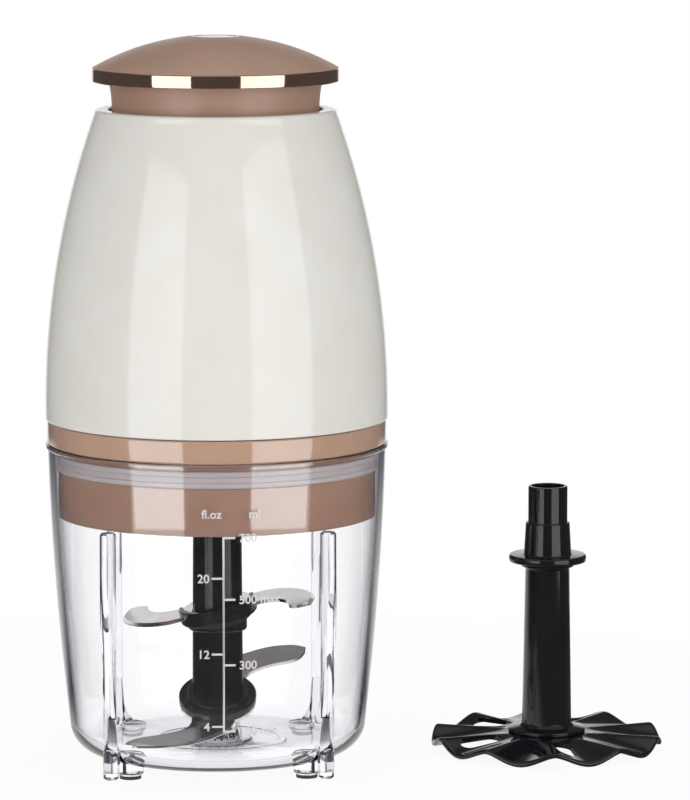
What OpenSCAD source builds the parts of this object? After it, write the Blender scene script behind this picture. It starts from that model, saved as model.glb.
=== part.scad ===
// Electric food chopper with a press-top motor unit, a lid, a clear bowl, a blade unit and a loose whisk disc.
// Millimetres, +Z up. The origin lies on the bowl's axis at the table, and -Y is the front.

/* [Bowl] */
// Height of the bowl's lip above the table
bowl_h = 112.2; // [104:0.1:122]
// Outer radius of the bowl just under its lip
bowl_rim_r = 58.5; // [56:0.1:64]
// Wall of the bowl
bowl_wall = 2.2; // [1.8:0.1:2.6]
// Thickness of the bowl's floor
bowl_floor_t = 3; // [2.4:0.1:4]
// Underside of the bowl above the table
bowl_lift = 4.5; // [3.8:0.1:6]
// Straight part of the wall's taper from lip to base
bowl_draft = 2.9; // [2:0.1:4]
// Curved part of the wall's taper from lip to base
bowl_belly = 5.4; // [4:0.1:6.5]
// Corner radius between wall and floor
bowl_corner_r = 10; // [7:0.5:12]
// How far the lip stands out from the wall
lip_proud = 0.7; // [0.4:0.1:1.5]
// Height of the lip
lip_h = 2; // [1.5:0.1:3]

/* [Ribs and feet] */
// Width of a column rib
rib_w = 4.2; // [3.4:0.1:5]
// Depth of a column rib along the radius
rib_depth = 4.6; // [3.8:0.1:6]
// How far a rib's outer face is set in from the wall under the lid
rib_set_in = 3.4; // [2.6:0.1:4]
// Gap between a rib's top and the lid
rib_top_gap = 1.2; // [0.6:0.1:3]
// Height of a rib's lower end above the table
rib_foot_z = 0.9; // [0.5:0.1:1.5]
// Radius of a foot boss
foot_r = 4.5; // [3.8:0.1:5.5]
// How far a foot is set in from the wall's lower end
foot_set_in = 8.7; // [7.5:0.1:10]
// Radius of a foot pad
pad_r = 3.7; // [2.8:0.1:3.8]
// Thickness of a foot pad
pad_t = 1.2; // [1:0.1:2]

/* [Spindle] */
// Radius of the floor boss
floor_boss_r = 12; // [10:0.5:14]
// Height of the floor boss
floor_boss_h = 3; // [2:0.1:4]
// Radius of the moulded spindle
spindle_r = 6.4; // [5.8:0.1:7.5]
// Height of the spindle above the bowl's floor
spindle_h = 9; // [7:0.1:11]
// Radius of the steel pin
pin_r = 3; // [2.5:0.1:3.4]
// Depth of the pin in the spindle
pin_depth = 7; // [5:0.1:8]
// Length of the pin above the spindle
pin_reach = 45; // [38:0.5:48]

/* [Lid] */
// Depth of the lid's plug below the bowl's lip
lid_depth = 24.7; // [22:0.1:28]
// Wall of the lid's plug
lid_wall = 2.4; // [2:0.1:3]
// Thickness of the lid's floor
lid_floor_t = 2.5; // [2:0.1:3]
// Radial gap between plug and bowl at the plug's lower end
lid_gap = 0.45; // [0.35:0.05:0.8]
// Height of the lid's rim
lid_rim_h = 7.9; // [7:0.1:10]
// How far the rim stands out past the bowl's wall
lid_rim_proud = 0.2; // [0:0.1:1]
// Radial thickness of the rim's outer skirt
lid_skirt_t = 1.8; // [1.4:0.1:2.4]
// Thickness of the rim's web on the lip
lid_web_t = 2.2; // [1.8:0.1:3]
// Radius of the hole for the drive end
lid_hole_r = 7.5; // [7.3:0.1:8]
// Height of the collar round the hole, from the lid's underside
lid_collar_h = 9; // [6:0.1:10]
// Wall of that collar
lid_collar_t = 1.8; // [1.4:0.1:2.4]
// Height of the seal
seal_h = 6; // [5:0.1:7]
// Distance from the seal's top to the lip
seal_drop = 2.4; // [1.8:0.1:4]
// Depth of the seal's groove
seal_groove = 1.1; // [0.8:0.1:1.3]
// Height of one lip of the seal
seal_lip_h = 1.9; // [1.4:0.1:2.3]

/* [Shell] */
// Height of the shell
shell_h = 106.6; // [98:0.1:116]
// How far the shell stands out past the bowl's wall
shell_proud = 0.7; // [0.3:0.1:1.5]
// Height of the widest place above the shell's lower edge
shell_belly_z = 4.3; // [0:0.1:10]
// Wall of the shell
shell_wall = 2.4; // [2:0.1:3]
// Width of the flat deck round the cap
deck_w = 4.3; // [4:0.1:6]
// Edge radius of the deck
deck_edge_r = 1.2; // [0.6:0.1:1.6]
// Depth of the guide tube under the deck
guide_depth = 14; // [11:0.1:16]
// Wall of the guide tube
guide_t = 1.8; // [1.4:0.1:2.2]
// Radius of a screw boss
boss_r = 4.2; // [3.6:0.1:4.5]
// Height of a screw boss in the shell
boss_h = 22; // [18:0.5:28]
// Radius of the cord gland's body
gland_r = 5.2; // [4.6:0.1:6]
// Height of the gland above the shell's lower edge
gland_up = 13; // [11:0.1:20]
// Radius of the hole through the gland
gland_hole_r = 3.2; // [2.6:0.1:3.6]

/* [Press cap] */
// Radius of the neck under the trim ring
neck_r = 36.6; // [33:0.1:39]
// How much narrower the neck is at the deck
neck_taper = 1; // [0.5:0.1:1.5]
// Height of the neck that shows
neck_show = 9.4; // [8:0.1:12]
// Wall of the neck
neck_wall = 2; // [1.6:0.1:2.4]
// How far the trim ring stands out past the neck
cap_overhang = 5.8; // [5:0.1:7]
// Height of the trim ring
ring_h = 4.6; // [4:0.1:6]
// Radial thickness of the trim ring
ring_t = 1.3; // [1:0.1:1.6]
// Rise of the dome above the ring
dome_rise = 11.3; // [9:0.1:14]
// Thickness of the dome
dome_t = 2.2; // [1.8:0.1:2.8]
// Travel of the cap
cap_travel = 4.5; // [3:0.1:5]
// Radius of the disc in the dome's top
disc_r = 8.5; // [7:0.1:10]
// Thickness of that disc
disc_t = 0.8; // [0.6:0.1:1]
// Length of a return spring at rest
spring_len = 17; // [15:0.1:19]
// Mean radius of a return spring
spring_r = 3.6; // [3:0.1:4]
// Radius of the spring's wire
spring_wire_r = 0.45; // [0.3:0.05:0.5]
// Turns of a return spring
spring_turns = 6; // [5:1:7]

/* [Motor] */
// Radius of the motor can
can_r = 23.5; // [21:0.1:26]
// Wall of the can
can_wall = 1.8; // [1.4:0.1:2.2]
// Thickness of the magnets
magnet_t = 6; // [5:0.1:6.5]
// Air gap between magnets and armature
air_gap = 0.6; // [0.5:0.1:0.8]
// Radius of the motor shaft
shaft_r = 2.5; // [2:0.1:2.8]
// Outer radius of a bearing
bearing_r = 6.5; // [6:0.1:7]
// Width of a bearing
bearing_w = 4; // [3.5:0.1:5]
// Radius of the commutator
comm_r = 6.5; // [6:0.1:7]
// Length of the commutator
comm_h = 9; // [8:0.1:10]
// Length of a winding head beyond the core
winding_h = 6; // [5:0.1:7]
// Radius of the cooling fan
fan_r = 21; // [18:0.5:24]
// Height of the cooling fan
fan_h = 8; // [6:0.1:9]
// Blades of the cooling fan
fan_blades = 9; // [7:1:11]
// Thickness of the rubber ring under the motor
damper_t = 2; // [1.5:0.1:3]

/* [Gearbox] */
// Module of the gears
gear_module = 0.9; // [0.8:0.05:1]
// Teeth of the sun gear
sun_teeth = 12; // [12:3:15]
// Teeth of a planet gear
planet_teeth = 18; // [15:3:18]
// Face width of the gears
gear_w = 6.5; // [5:0.1:8]
// Thickness of the planet carrier
carrier_t = 3.2; // [2.6:0.1:4]
// Radius of a planet pin
planet_pin_r = 2; // [1.6:0.1:2.2]
// Radial thickness of the ring gear behind its teeth
ring_back = 1.9; // [1.5:0.1:2.5]
// Wall of the gear pot
pot_wall = 2.6; // [2:0.1:3]
// Thickness of the gear pot's floor
pot_floor_t = 4; // [3:0.1:5]
// Thickness of the gear cover
cover_t = 2.5; // [2.2:0.1:3]
// Radius of the output shaft's journal
journal_r = 4.3; // [3.8:0.1:4.4]

/* [Drive end] */
// Radius of the narrow neck on the blade hub and the whisk
drive_neck_r = 6.9; // [6.7:0.05:7]
// Length of that neck
drive_neck_h = 13; // [12:0.1:15]
// Radius of the round mouth of the socket
drive_bore_r = 5.7; // [5.6:0.05:5.8]
// Depth of the round mouth
drive_bore_h = 6; // [4:0.1:8]
// Corner radius of the six-sided socket
drive_hex_r = 5.5; // [5.2:0.05:5.6]
// Depth of the six-sided socket
drive_hex_h = 10; // [8:0.1:12]
// How far the drive end reaches above the lid's underside
drive_reach = 12.2; // [10:0.1:12.3]

/* [Blade unit] */
// Radius of the hub at its lower end
hub_r = 8.9; // [8.6:0.1:9.2]
// How much narrower the hub is at its shoulder
hub_taper = 0.5; // [0.2:0.1:0.8]
// Radius of the hub's flanges
hub_flange_r = 13.5; // [12.5:0.1:14.5]
// Thickness of the lower flange
lower_flange_t = 3; // [2.4:0.1:3.6]
// Thickness of the upper flange
upper_flange_t = 2.4; // [2:0.1:3]
// Radius of the collar under the upper flange
hub_collar_r = 10.3; // [9.8:0.1:11]
// Height of that collar
hub_collar_h = 6.6; // [5:0.1:8]
// Outer radius of the hub's bush
bush_r = 5; // [4.6:0.1:5.4]
// Length of the hub's bush
bush_h = 26; // [20:0.5:32]
// Thickness of a blade
blade_t = 1.2; // [1:0.1:1.5]
// Height of the upper blade above the bowl's floor
upper_blade_up = 46.5; // [42:0.1:52]
// Reach of the upper blade's tips
upper_blade_reach = 36.8; // [32:0.1:40]
// Height of the lower blade above the bowl's floor
lower_blade_up = 12.9; // [12.2:0.1:14.5]
// Reach of the lower blade's tips
lower_blade_reach = 45; // [41:0.1:46]
// How far the lower blade's front wing is bent up, in degrees
lower_blade_bend = 14; // [10:0.5:18]

/* [Whisk] */
// Place of the whisk to the right of the bowl
whisk_x = 116.4; // [105:0.1:130]
// Place of the whisk behind the bowl's axis
whisk_y = 19; // [0:0.1:40]
// Height of the whisk
whisk_h = 93; // [85:0.1:100]
// Radius of the whisk's stem at its foot
stem_foot_r = 8.7; // [8.2:0.1:9.2]
// Radius of the stem under its flange
stem_top_r = 7.8; // [7.6:0.1:8.1]
// Radius of the stem above its flange
stem_shoulder_r = 8.1; // [7.6:0.1:8.6]
// Length of the stem above its flange, up to the drive neck
stem_shoulder_h = 11.3; // [9:0.1:13]
// Radius of the stem's two flanges
stem_flange_r = 13.6; // [12.5:0.1:14.5]
// Thickness of those flanges
stem_flange_t = 2.5; // [2:0.1:3]
// Outer radius of the wavy disc
wave_r = 40.7; // [36:0.1:44]
// Thickness of the wavy disc
wave_t = 1.8; // [1.6:0.1:2.2]
// Rise and fall of the wave at the rim
wave_amp = 1.8; // [1.4:0.1:2.4]
// Waves round the rim
wave_count = 10; // [8:1:12]
// Width of a slot in the disc
slot_w = 5.5; // [5:0.1:6.5]
// Length of a slot in the disc
slot_len = 16; // [13:0.1:18]

/* [Fits] */
// Gap between pieces that are set down on each other
seat_gap = 0.3; // [0.2:0.05:0.5]
// Radial clearance of a running fit
run_fit = 0.05; // [0.02:0.01:0.08]
// Radial clearance of a seated fit
seat_fit = 0.03; // [0.02:0.01:0.1]
// Clearance of loose nesting faces
nest_gap = 1; // [0.8:0.1:1.5]
// Play between the drive's six sides and the socket
drive_play = 0.3; // [0.2:0.05:0.4]
// Tooth thinning on each gear
backlash = 0.14; // [0.08:0.02:0.2]

/* [Hidden] */
$fn = 96;
cut = 1;

// Bowl heights and radii
bowl_floor_z = bowl_lift + bowl_floor_t;
lip_r = bowl_rim_r + lip_proud;
lid_z = bowl_h - lid_depth;
rib_top_z = lid_z - rib_top_gap;
function bowl_drop(z) = (bowl_h - z) / (bowl_h - bowl_lift);
function bowl_r(z) = bowl_rim_r - bowl_draft * bowl_drop(z) - bowl_belly * bowl_drop(z) ^ 2;
rib_out_r = bowl_r(rib_top_z) - rib_set_in;
rib_in_r = rib_out_r - rib_depth;
rib_web_w = rib_w * 0.6;
rib_count = 4;
rib_phase = 45;
foot_circle_r = bowl_r(bowl_lift + bowl_corner_r) - foot_set_in;
gusset_w = foot_r * 1.2;
gusset_z = pad_t + 1.4;
spindle_z = bowl_floor_z + spindle_h;
pin_z = spindle_z - pin_depth;
pin_top_z = spindle_z + pin_reach;

// Lid heights and radii
lid_plug_r = bowl_r(lid_z) - bowl_wall - lid_gap;
lid_in_r = lid_plug_r - lid_wall;
lid_rim_z = bowl_h + seat_gap;
lid_top_z = lid_rim_z + lid_rim_h;
lid_rim_r = bowl_rim_r + lid_rim_proud;
lid_collar_r = lid_hole_r + lid_collar_t;
seal_top_z = bowl_h - seal_drop;
seal_z = seal_top_z - seal_h;
seal_in_r = lid_plug_r - seal_groove;
seal_lip_r = bowl_r(seal_z) - bowl_wall - seat_gap;

// Shell outline: one arc that is upright at the widest place
shell_z = lid_top_z + seat_gap;
shell_top_z = shell_z + shell_h;
shell_r = bowl_rim_r + shell_proud;
guide_r = neck_r + seat_gap;
shell_top_r = guide_r + deck_w;
shell_mid_z = shell_z + shell_belly_z;
shell_fall = shell_r - shell_top_r;
shell_arc_r = ((shell_top_z - shell_mid_z) ^ 2 + shell_fall ^ 2) / (2 * shell_fall);
function shell_out(z) = shell_r - shell_arc_r + sqrt(shell_arc_r ^ 2 - (z - shell_mid_z) ^ 2);
guide_z = shell_top_z - guide_depth;

// Base heights and radii
base_z = lid_z + lid_floor_t + nest_gap;
base_r = lid_in_r - nest_gap;
base_wall = 2.5;
base_floor_z = base_z + base_wall;
base_in_r = base_r - base_wall;
base_flange_z = shell_z + seat_gap;
base_flange_t = 3;
base_top_z = base_flange_z + base_flange_t;
base_flange_r = shell_out(shell_z) - shell_wall - seat_gap;
screw_count = 4;
screw_phase = 45;
well_r = boss_r + 0.4;
screw_circle_r = base_r - well_r - 0.6;
screw_r = 1.45;
pilot_r = screw_r + seat_fit;
screw_head_r = 2.9;
screw_head_h = 2.2;
counterbore_r = screw_head_r + 0.5;
well_roof_z = base_top_z - 10;
well_top_z = base_top_z + seat_gap / 2;
gland_z = shell_z + gland_up;

// Drive end and hub heights
hub_top_z = lid_z + drive_reach;
hub_shoulder_z = lid_z - seat_gap * 2.5;
hub_z = spindle_z + seat_gap;
hub_bore_top_z = pin_top_z + nest_gap;
drive_dog_r = drive_hex_r - drive_play;
upper_blade_z = bowl_floor_z + upper_blade_up;
lower_blade_z = bowl_floor_z + lower_blade_up;
upper_tilt = [7, -12, 0];
lower_tilt = [24, -2, 0];

// Gear sizes: the ring stands still, the sun drives and the carrier gives the output
ring_teeth = sun_teeth + 2 * planet_teeth;
planet_count = 3;
pressure_angle = 25;
addendum = 0.9 * gear_module;
dedendum = 1.15 * gear_module;
sun_pitch_r = gear_module * sun_teeth / 2;
planet_pitch_r = gear_module * planet_teeth / 2;
ring_pitch_r = gear_module * ring_teeth / 2;
planet_circle_r = sun_pitch_r + planet_pitch_r;
ring_out_r = ring_pitch_r + dedendum + ring_back;
pot_in_r = ring_out_r + seat_fit;
pot_r = pot_in_r + pot_wall;
carrier_r = planet_circle_r + planet_pin_r + 2.4;

// Gearbox heights, from the drive end up
pot_floor_z = hub_top_z + nest_gap * 1.5;
pot_floor_top_z = pot_floor_z + pot_floor_t;
carrier_z = pot_floor_top_z + nest_gap;
gear_z = carrier_z + carrier_t + seat_gap;
gear_top_z = gear_z + gear_w;
ring_z = gear_z - seat_gap;
ring_top_z = gear_top_z + seat_gap;
cover_z = ring_top_z + seat_gap;
cover_top_z = cover_z + cover_t;
lug_r = 3.6;
lug_circle_r = pot_r + lug_r - 1.2;
lug_count = 3;
output_bush_r = journal_r + 2;
dog_z = hub_top_z - drive_bore_h - drive_hex_h + 2;

// Press cap heights
trim_z = shell_top_z + neck_show;
trim_top_z = trim_z + ring_h;
cap_r = neck_r + cap_overhang;
cap_in_r = cap_r - ring_t;
dome_top_z = trim_top_z + dome_rise;
dome_r = (cap_r ^ 2 + dome_rise ^ 2) / (2 * dome_rise);
neck_low_r = neck_r - neck_taper;
cap_flange_t = 2;
hook_t = 2;
hook_r = guide_r + guide_t - seat_gap;
hook_angle = 24;
skirt_z = guide_z - seat_gap - hook_t;
cap_count = 3;
hook_phase = 30;
plate_top_z = skirt_z - cap_travel - nest_gap;
plate_t = 2.2;
plate_z = plate_top_z - plate_t;
web_z = plate_top_z + spring_len;
web_t = 2.5;
spring_circle_r = neck_low_r - neck_wall - spring_r - 4;
spring_spigot_r = spring_r - spring_wire_r - 0.5;
spring_spigot_h = 3;
cap_boss_r = 3.2;
cap_boss_circle_r = spring_circle_r * 0.8;
disc_floor_z = dome_top_z - disc_t - seat_gap;
plate_boss_r = 3.4;
plate_boss_circle_r = guide_r + guide_t + plate_boss_r - 1;
plate_r = shell_out(plate_top_z) - shell_wall - seat_gap;
plate_thread = 8;
cover_thread = 10;
plate_phase = 90;

// Switch in the middle of the plate
switch_w = 20;
switch_d = 14;
button_r = 2.6;
button_gap = seat_gap;
post_r = 4;
post_h = 2.5;
button_top_z = web_z - post_h - button_gap;
button_show = cap_travel + nest_gap;
switch_top_z = button_top_z - button_show;
button_z = plate_top_z + cap_travel + nest_gap;

// Motor heights, filling the room between gear cover and switch plate
can_z = cover_top_z + damper_t;
shaft_top_z = plate_z - 3;
fan_z = shaft_top_z - fan_h - 1;
end_cap_t = 3;
end_cup_h = bearing_w + 1;
can_top_z = fan_z - 3 - end_cup_h;
cup_wall = 1.6;
comm_top_z = can_top_z - 2.5;
comm_z = comm_top_z - comm_h;
core_z = can_z + can_wall + bearing_w + 2 + winding_h;
core_top_z = comm_z - 1.5 - winding_h;
core_r = can_r - can_wall - magnet_t - air_gap - seat_fit;
magnet_r = can_r - can_wall - seat_fit;
magnet_angle = 130;
brush_w = 5;
brush_t = 4;
brush_len = 9;
slot_r = 1.3;
slot_depth = 1.6;
slot_mouth = 1;
brush_z = (comm_z + comm_top_z) / 2;
motor_screw_circle_r = can_r * 0.62;
motor_screw_r = 1.5;

// Board on its posts in the base, to the left of the gear pot
board_w = 11;
board_len = 30;
board_t = 1.6;
board_z = base_floor_z + 18;
board_x = -(base_in_r - board_w / 2 - 3.8);
board_post_y = board_len / 2 - 3;
board_post_r = 2.6;
board_thread = 6;
board_head_r = 2.2;
board_head_h = 1.6;
capacitor_r = 4;
capacitor_h = 13;
rectifier_t = 4;
rectifier_w = 4.4;
rectifier_h = 9;

// Whisk heights
wave_rim_z = wave_amp + wave_t / 2 + 0.1;
wave_rise = 1.6;
wave_hub_z = wave_rim_z + wave_rise;
wave_in_r = stem_foot_r + 0.9;
stem_z = wave_hub_z - wave_t / 2 - seat_fit;
foot_flange_z = wave_hub_z + wave_t / 2 + seat_fit;
foot_flange_top_z = foot_flange_z + stem_flange_t;
stem_neck_z = whisk_h - drive_neck_h;
top_flange_top_z = stem_neck_z - stem_shoulder_h;
top_flange_z = top_flange_top_z - stem_flange_t;
stem_collar_h = 2.4;
stem_spindle_r = spindle_r + seat_gap;
stem_pin_z = stem_z + spindle_h + seat_gap;
stem_pin_top_z = stem_pin_z + pin_reach + nest_gap;
wave_crease = 1.3;
slot_count = 5;
slot_phase = 63;
slot_mid_r = (stem_flange_r + wave_r) / 2;

// Colours
clear_grey = [0.88, 0.9, 0.93, 0.35];
tan_colour = [0.69, 0.56, 0.47];
white_colour = [0.92, 0.91, 0.88];
black_colour = [0.1, 0.1, 0.11];
copper_colour = [0.8, 0.55, 0.42];
steel_colour = [0.75, 0.76, 0.78];
brass_colour = [0.76, 0.6, 0.32];
gear_colour = [0.93, 0.93, 0.9];

// Round bar between two heights
module bar(r, z0, z1) {
    translate([0, 0, z0])
        cylinder(r = r, h = z1 - z0);
}

// Tube between two heights
module tube(r_out, r_in, z0, z1) {
    difference() {
        bar(r_out, z0, z1);
        bar(r_in, z0 - cut, z1 + cut);
    }
}

// Copies of the children on a circle
module around(count, circle_r, phase) {
    for (i = [0 : count - 1])
        rotate([0, 0, phase + 360 * i / count])
            translate([circle_r, 0, 0])
                children();
}

// Screw with its pan head down and its shank up from z = 0, with a cross slot
module screw(r, len, head_r, head_h) {
    slot = head_r * 0.28;
    difference() {
        union() {
            bar(head_r, -head_h, 0);
            bar(r, 0, len);
        }
        for (a = [0, 90])
            rotate([0, 0, a])
                translate([-head_r * 0.6, -slot / 2, -head_h - cut])
                    cube([head_r * 1.2, slot, cut + head_h * 0.5]);
    }
}

// Points of a smooth open curve through the given points
function curve(p, steps) = [
    for (i = [0 : len(p) - 2])
        for (k = [0 : steps - 1])
            let (
                a = p[max(i - 1, 0)],
                b = p[i],
                c = p[i + 1],
                d = p[min(i + 2, len(p) - 1)],
                t = k / steps
            )
            0.5 * (2 * b + (c - a) * t + (2 * a - 5 * b + 4 * c - d) * t ^ 2 + (3 * b - a - 3 * c + d) * t ^ 3)
];

// Outline of one side of the bowl's wall, from the floor's edge up
corner_steps = 6;
wall_steps = 10;
function wall_points(inset, base, corner, top) =
    let (start = base + corner, foot = bowl_r(start) - inset)
    concat(
        [
            for (i = [0 : corner_steps])
                let (a = 90 - 90 * i / corner_steps)
                [foot - corner + corner * cos(a), start - corner * sin(a)]
        ],
        [
            for (i = [1 : wall_steps])
                let (z = start + (top - start) * i / wall_steps)
                [bowl_r(z) - inset, z]
        ]
    );

module bowl_outside() {
    low = bowl_h - lip_h;
    rotate_extrude()
        polygon(concat(
            [[0, bowl_lift]],
            wall_points(0, bowl_lift, bowl_corner_r, low),
            [[lip_r, low], [lip_r, bowl_h], [0, bowl_h]]
        ));
}

module bowl_inside() {
    rotate_extrude()
        polygon(concat(
            [[0, bowl_floor_z]],
            wall_points(bowl_wall, bowl_floor_z, bowl_corner_r - bowl_wall, bowl_h),
            [[bowl_r(bowl_h) - bowl_wall, bowl_h + cut], [0, bowl_h + cut]]
        ));
}

// Column with a round outer edge, tied to the wall by a thinner web
module rib() {
    round_x = rib_out_r - rib_w / 2;
    translate([rib_in_r, -rib_w / 2, rib_foot_z])
        cube([round_x - rib_in_r, rib_w, rib_top_z - rib_foot_z]);
    translate([round_x, 0, 0])
        bar(rib_w / 2, rib_foot_z, rib_top_z);
    intersection() {
        translate([round_x, -rib_web_w / 2, bowl_floor_z + bowl_corner_r])
            cube([bowl_rim_r, rib_web_w, rib_top_z - bowl_floor_z - bowl_corner_r]);
        bowl_outside();
    }
}

// Foot boss with the gusset that ties it to its column
module foot() {
    translate([foot_circle_r, 0, 0])
        bar(foot_r, pad_t, bowl_floor_z + bowl_corner_r / 2);
    translate([foot_circle_r, -gusset_w / 2, gusset_z])
        cube([rib_out_r - rib_w / 2 - foot_circle_r, gusset_w, bowl_floor_z + bowl_corner_r / 2 - gusset_z]);
}

module bowl() {
    color(clear_grey)
        difference() {
            union() {
                difference() {
                    union() {
                        bowl_outside();
                        around(rib_count, 0, rib_phase)
                            foot();
                    }
                    bowl_inside();
                }
                around(rib_count, 0, rib_phase)
                    rib();
                bar(floor_boss_r, bowl_floor_z - cut, bowl_floor_z + floor_boss_h);
                bar(spindle_r, bowl_floor_z - cut, spindle_z);
            }
            bar(pin_r + seat_fit, pin_z - seat_fit, spindle_z + cut);
        }
}

module foot_pads() {
    color(black_colour)
        around(rib_count, foot_circle_r, rib_phase)
            bar(pad_r, 0, pad_t);
}

module spindle_pin() {
    color(steel_colour)
        bar(pin_r, pin_z, pin_top_z);
}

// Dish with a plug, a box-section rim and a collar round the drive hole
module lid() {
    color(tan_colour)
        difference() {
            union() {
                tube(lid_plug_r, lid_in_r, lid_z, lid_top_z);
                tube(lid_plug_r, lid_hole_r, lid_z, lid_z + lid_floor_t);
                tube(lid_collar_r, lid_hole_r, lid_z, lid_z + lid_collar_h);
                tube(lid_rim_r, lid_rim_r - lid_skirt_t, lid_rim_z, lid_top_z);
                tube(lid_rim_r, lid_in_r, lid_rim_z, lid_rim_z + lid_web_t);
            }
            tube(lid_plug_r + cut, seal_in_r, seal_z, seal_top_z);
        }
}

// Silicone ring with two lips
module lid_seal() {
    lip = seal_lip_r - seal_in_r;
    back = seal_groove + 0.2;
    color([0.75, 0.72, 0.76])
        rotate_extrude()
            translate([seal_in_r + seat_fit, seal_z + seat_fit])
                union() {
                    square([back, seal_h - 2 * seat_fit]);
                    for (z = [0, seal_h - seal_lip_h - 2 * seat_fit])
                        translate([0, z]) {
                            square([lip - seal_lip_h / 2, seal_lip_h]);
                            translate([lip - seal_lip_h / 2, seal_lip_h / 2])
                                circle(d = seal_lip_h);
                        }
                }
}

shell_steps = 16;
module shell_outside() {
    edge = shell_top_z - deck_edge_r;
    rotate_extrude()
        polygon(concat(
            [[0, shell_z]],
            [
                for (i = [0 : shell_steps])
                    let (z = shell_z + (edge - shell_z) * i / shell_steps)
                    [shell_out(z), z]
            ],
            [
                for (a = [30 : 30 : 90])
                    [shell_out(edge) - deck_edge_r * (1 - cos(a)), edge + deck_edge_r * sin(a)]
            ],
            [[0, shell_top_z]]
        ));
}

module shell_inside() {
    top = shell_top_z - shell_wall;
    rotate_extrude()
        polygon(concat(
            [[0, shell_z - cut], [shell_out(shell_z) - shell_wall, shell_z - cut]],
            [
                for (i = [0 : shell_steps])
                    let (z = shell_z + (top - shell_z) * i / shell_steps)
                    [shell_out(z) - shell_wall, z]
            ],
            [[0, top]]
        ));
}

// Boss for a base screw, tied to the wall by a rib
module shell_boss() {
    low = base_top_z + seat_gap;
    bar(boss_r, low, low + boss_h);
    translate([0, -1, low + nest_gap])
        cube([shell_r - shell_wall / 2 - screw_circle_r - 0.6, 2, boss_h - nest_gap]);
}

module shell() {
    low = base_top_z + seat_gap;
    color(white_colour)
        difference() {
            union() {
                difference() {
                    shell_outside();
                    shell_inside();
                }
                tube(guide_r + guide_t, guide_r, guide_z, shell_top_z - shell_wall / 2);
                intersection() {
                    union() {
                        around(screw_count, screw_circle_r, screw_phase)
                            shell_boss();
                        around(cap_count, plate_boss_circle_r, plate_phase)
                            bar(plate_boss_r, plate_top_z, shell_top_z);
                    }
                    shell_outside();
                }
            }
            bar(guide_r, guide_z - cut, shell_top_z + cut);
            around(screw_count, screw_circle_r, screw_phase)
                bar(pilot_r, low - cut, low + boss_h - 4);
            around(cap_count, plate_boss_circle_r, plate_phase)
                bar(pilot_r, plate_top_z - cut, plate_top_z + 10);
            translate([0, shell_r, gland_z])
                rotate([90, 0, 0])
                    translate([0, 0, -shell_wall])
                        cylinder(r = gland_r, h = shell_wall * 4);
        }
}

// Chassis: a deep boss that nests in the lid, with gear pot, screw wells and board posts
module motor_base() {
    bush_hole_r = output_bush_r + seat_fit;
    inside_z = base_z + cut;
    color([0.25, 0.25, 0.27])
        difference() {
            union() {
                rotate_extrude()
                    polygon([
                        [pot_in_r, base_z],
                        [base_r, base_z],
                        [base_r, base_flange_z],
                        [base_flange_r, base_flange_z],
                        [base_flange_r, base_top_z],
                        [base_in_r, base_top_z],
                        [base_in_r, base_floor_z],
                        [pot_r, base_floor_z],
                        [pot_r, cover_z],
                        [pot_in_r, cover_z],
                        [pot_in_r, ring_z],
                        [ring_pitch_r, ring_z],
                        [ring_pitch_r, pot_floor_top_z],
                        [bush_hole_r, pot_floor_top_z],
                        [bush_hole_r, pot_floor_z],
                        [pot_in_r, pot_floor_z]
                    ]);
                around(lug_count, lug_circle_r, 0)
                    bar(lug_r, inside_z, cover_z);
                around(screw_count, screw_circle_r, screw_phase)
                    bar(well_r, inside_z, well_top_z);
                for (y = [-board_post_y, board_post_y])
                    translate([board_x, y, 0])
                        bar(board_post_r, inside_z, board_z);
            }
            around(lug_count, lug_circle_r, 0)
                bar(pilot_r, cover_z - 12, cover_z + cut);
            around(screw_count, screw_circle_r, screw_phase) {
                bar(counterbore_r, base_z - cut, well_roof_z);
                bar(screw_r + 0.25, base_z - cut, well_top_z + cut);
            }
            for (y = [-board_post_y, board_post_y])
                translate([board_x, y, 0])
                    bar(pilot_r * 0.8, board_z - 8, board_z + cut);
        }
}

module base_screws() {
    color(steel_colour)
        around(screw_count, screw_circle_r, screw_phase)
            translate([0, 0, well_roof_z])
                screw(screw_r, base_top_z - well_roof_z + boss_h - 6, screw_head_r, screw_head_h);
}

// Rubber grommet through the back of the shell
module cord_gland() {
    front = shell_r + 2.2;
    lip_r = gland_r + 2;
    color(black_colour)
        translate([0, front, gland_z])
            rotate([90, 0, 0])
                difference() {
                    union() {
                        cylinder(r = lip_r, h = 1.8);
                        cylinder(r = gland_r - seat_fit, h = 1.8 + shell_wall + 3);
                        translate([0, 0, 1.8 + shell_wall + 1.2])
                            cylinder(r = lip_r - 0.8, h = 1.8);
                    }
                    translate([0, 0, -cut])
                        cylinder(r = gland_hole_r, h = 20);
                }
}

// One tooth flank pair as points from root to tip and back, for a tooth centred on +X
function involute(base_r, r) =
    let (u = sqrt(max((r / base_r) ^ 2 - 1, 0)))
    u * 180 / PI - atan(u);
flank_steps = 4;
function flank(pitch_r, teeth, thin, low_r, high_r) =
    let (
        base_r = pitch_r * cos(pressure_angle),
        half = 90 / teeth - thin / pitch_r * 90 / PI + involute(base_r, pitch_r)
    )
    [
        for (i = [0 : flank_steps])
            let (r = low_r + (high_r - low_r) * i / flank_steps)
            [r, half - involute(base_r, max(r, base_r))]
    ];
function gear_points(pitch_r, teeth, thin, low_r, high_r) =
    let (side = flank(pitch_r, teeth, thin, low_r, high_r))
    [
        for (n = [0 : teeth - 1])
            for (k = [0 : 2 * flank_steps + 1])
                let (
                    up = k <= flank_steps,
                    f = up ? side[k] : side[2 * flank_steps + 1 - k],
                    a = 360 * n / teeth + (up ? -f[1] : f[1])
                )
                f[0] * [cos(a), sin(a)]
    ];

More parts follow.
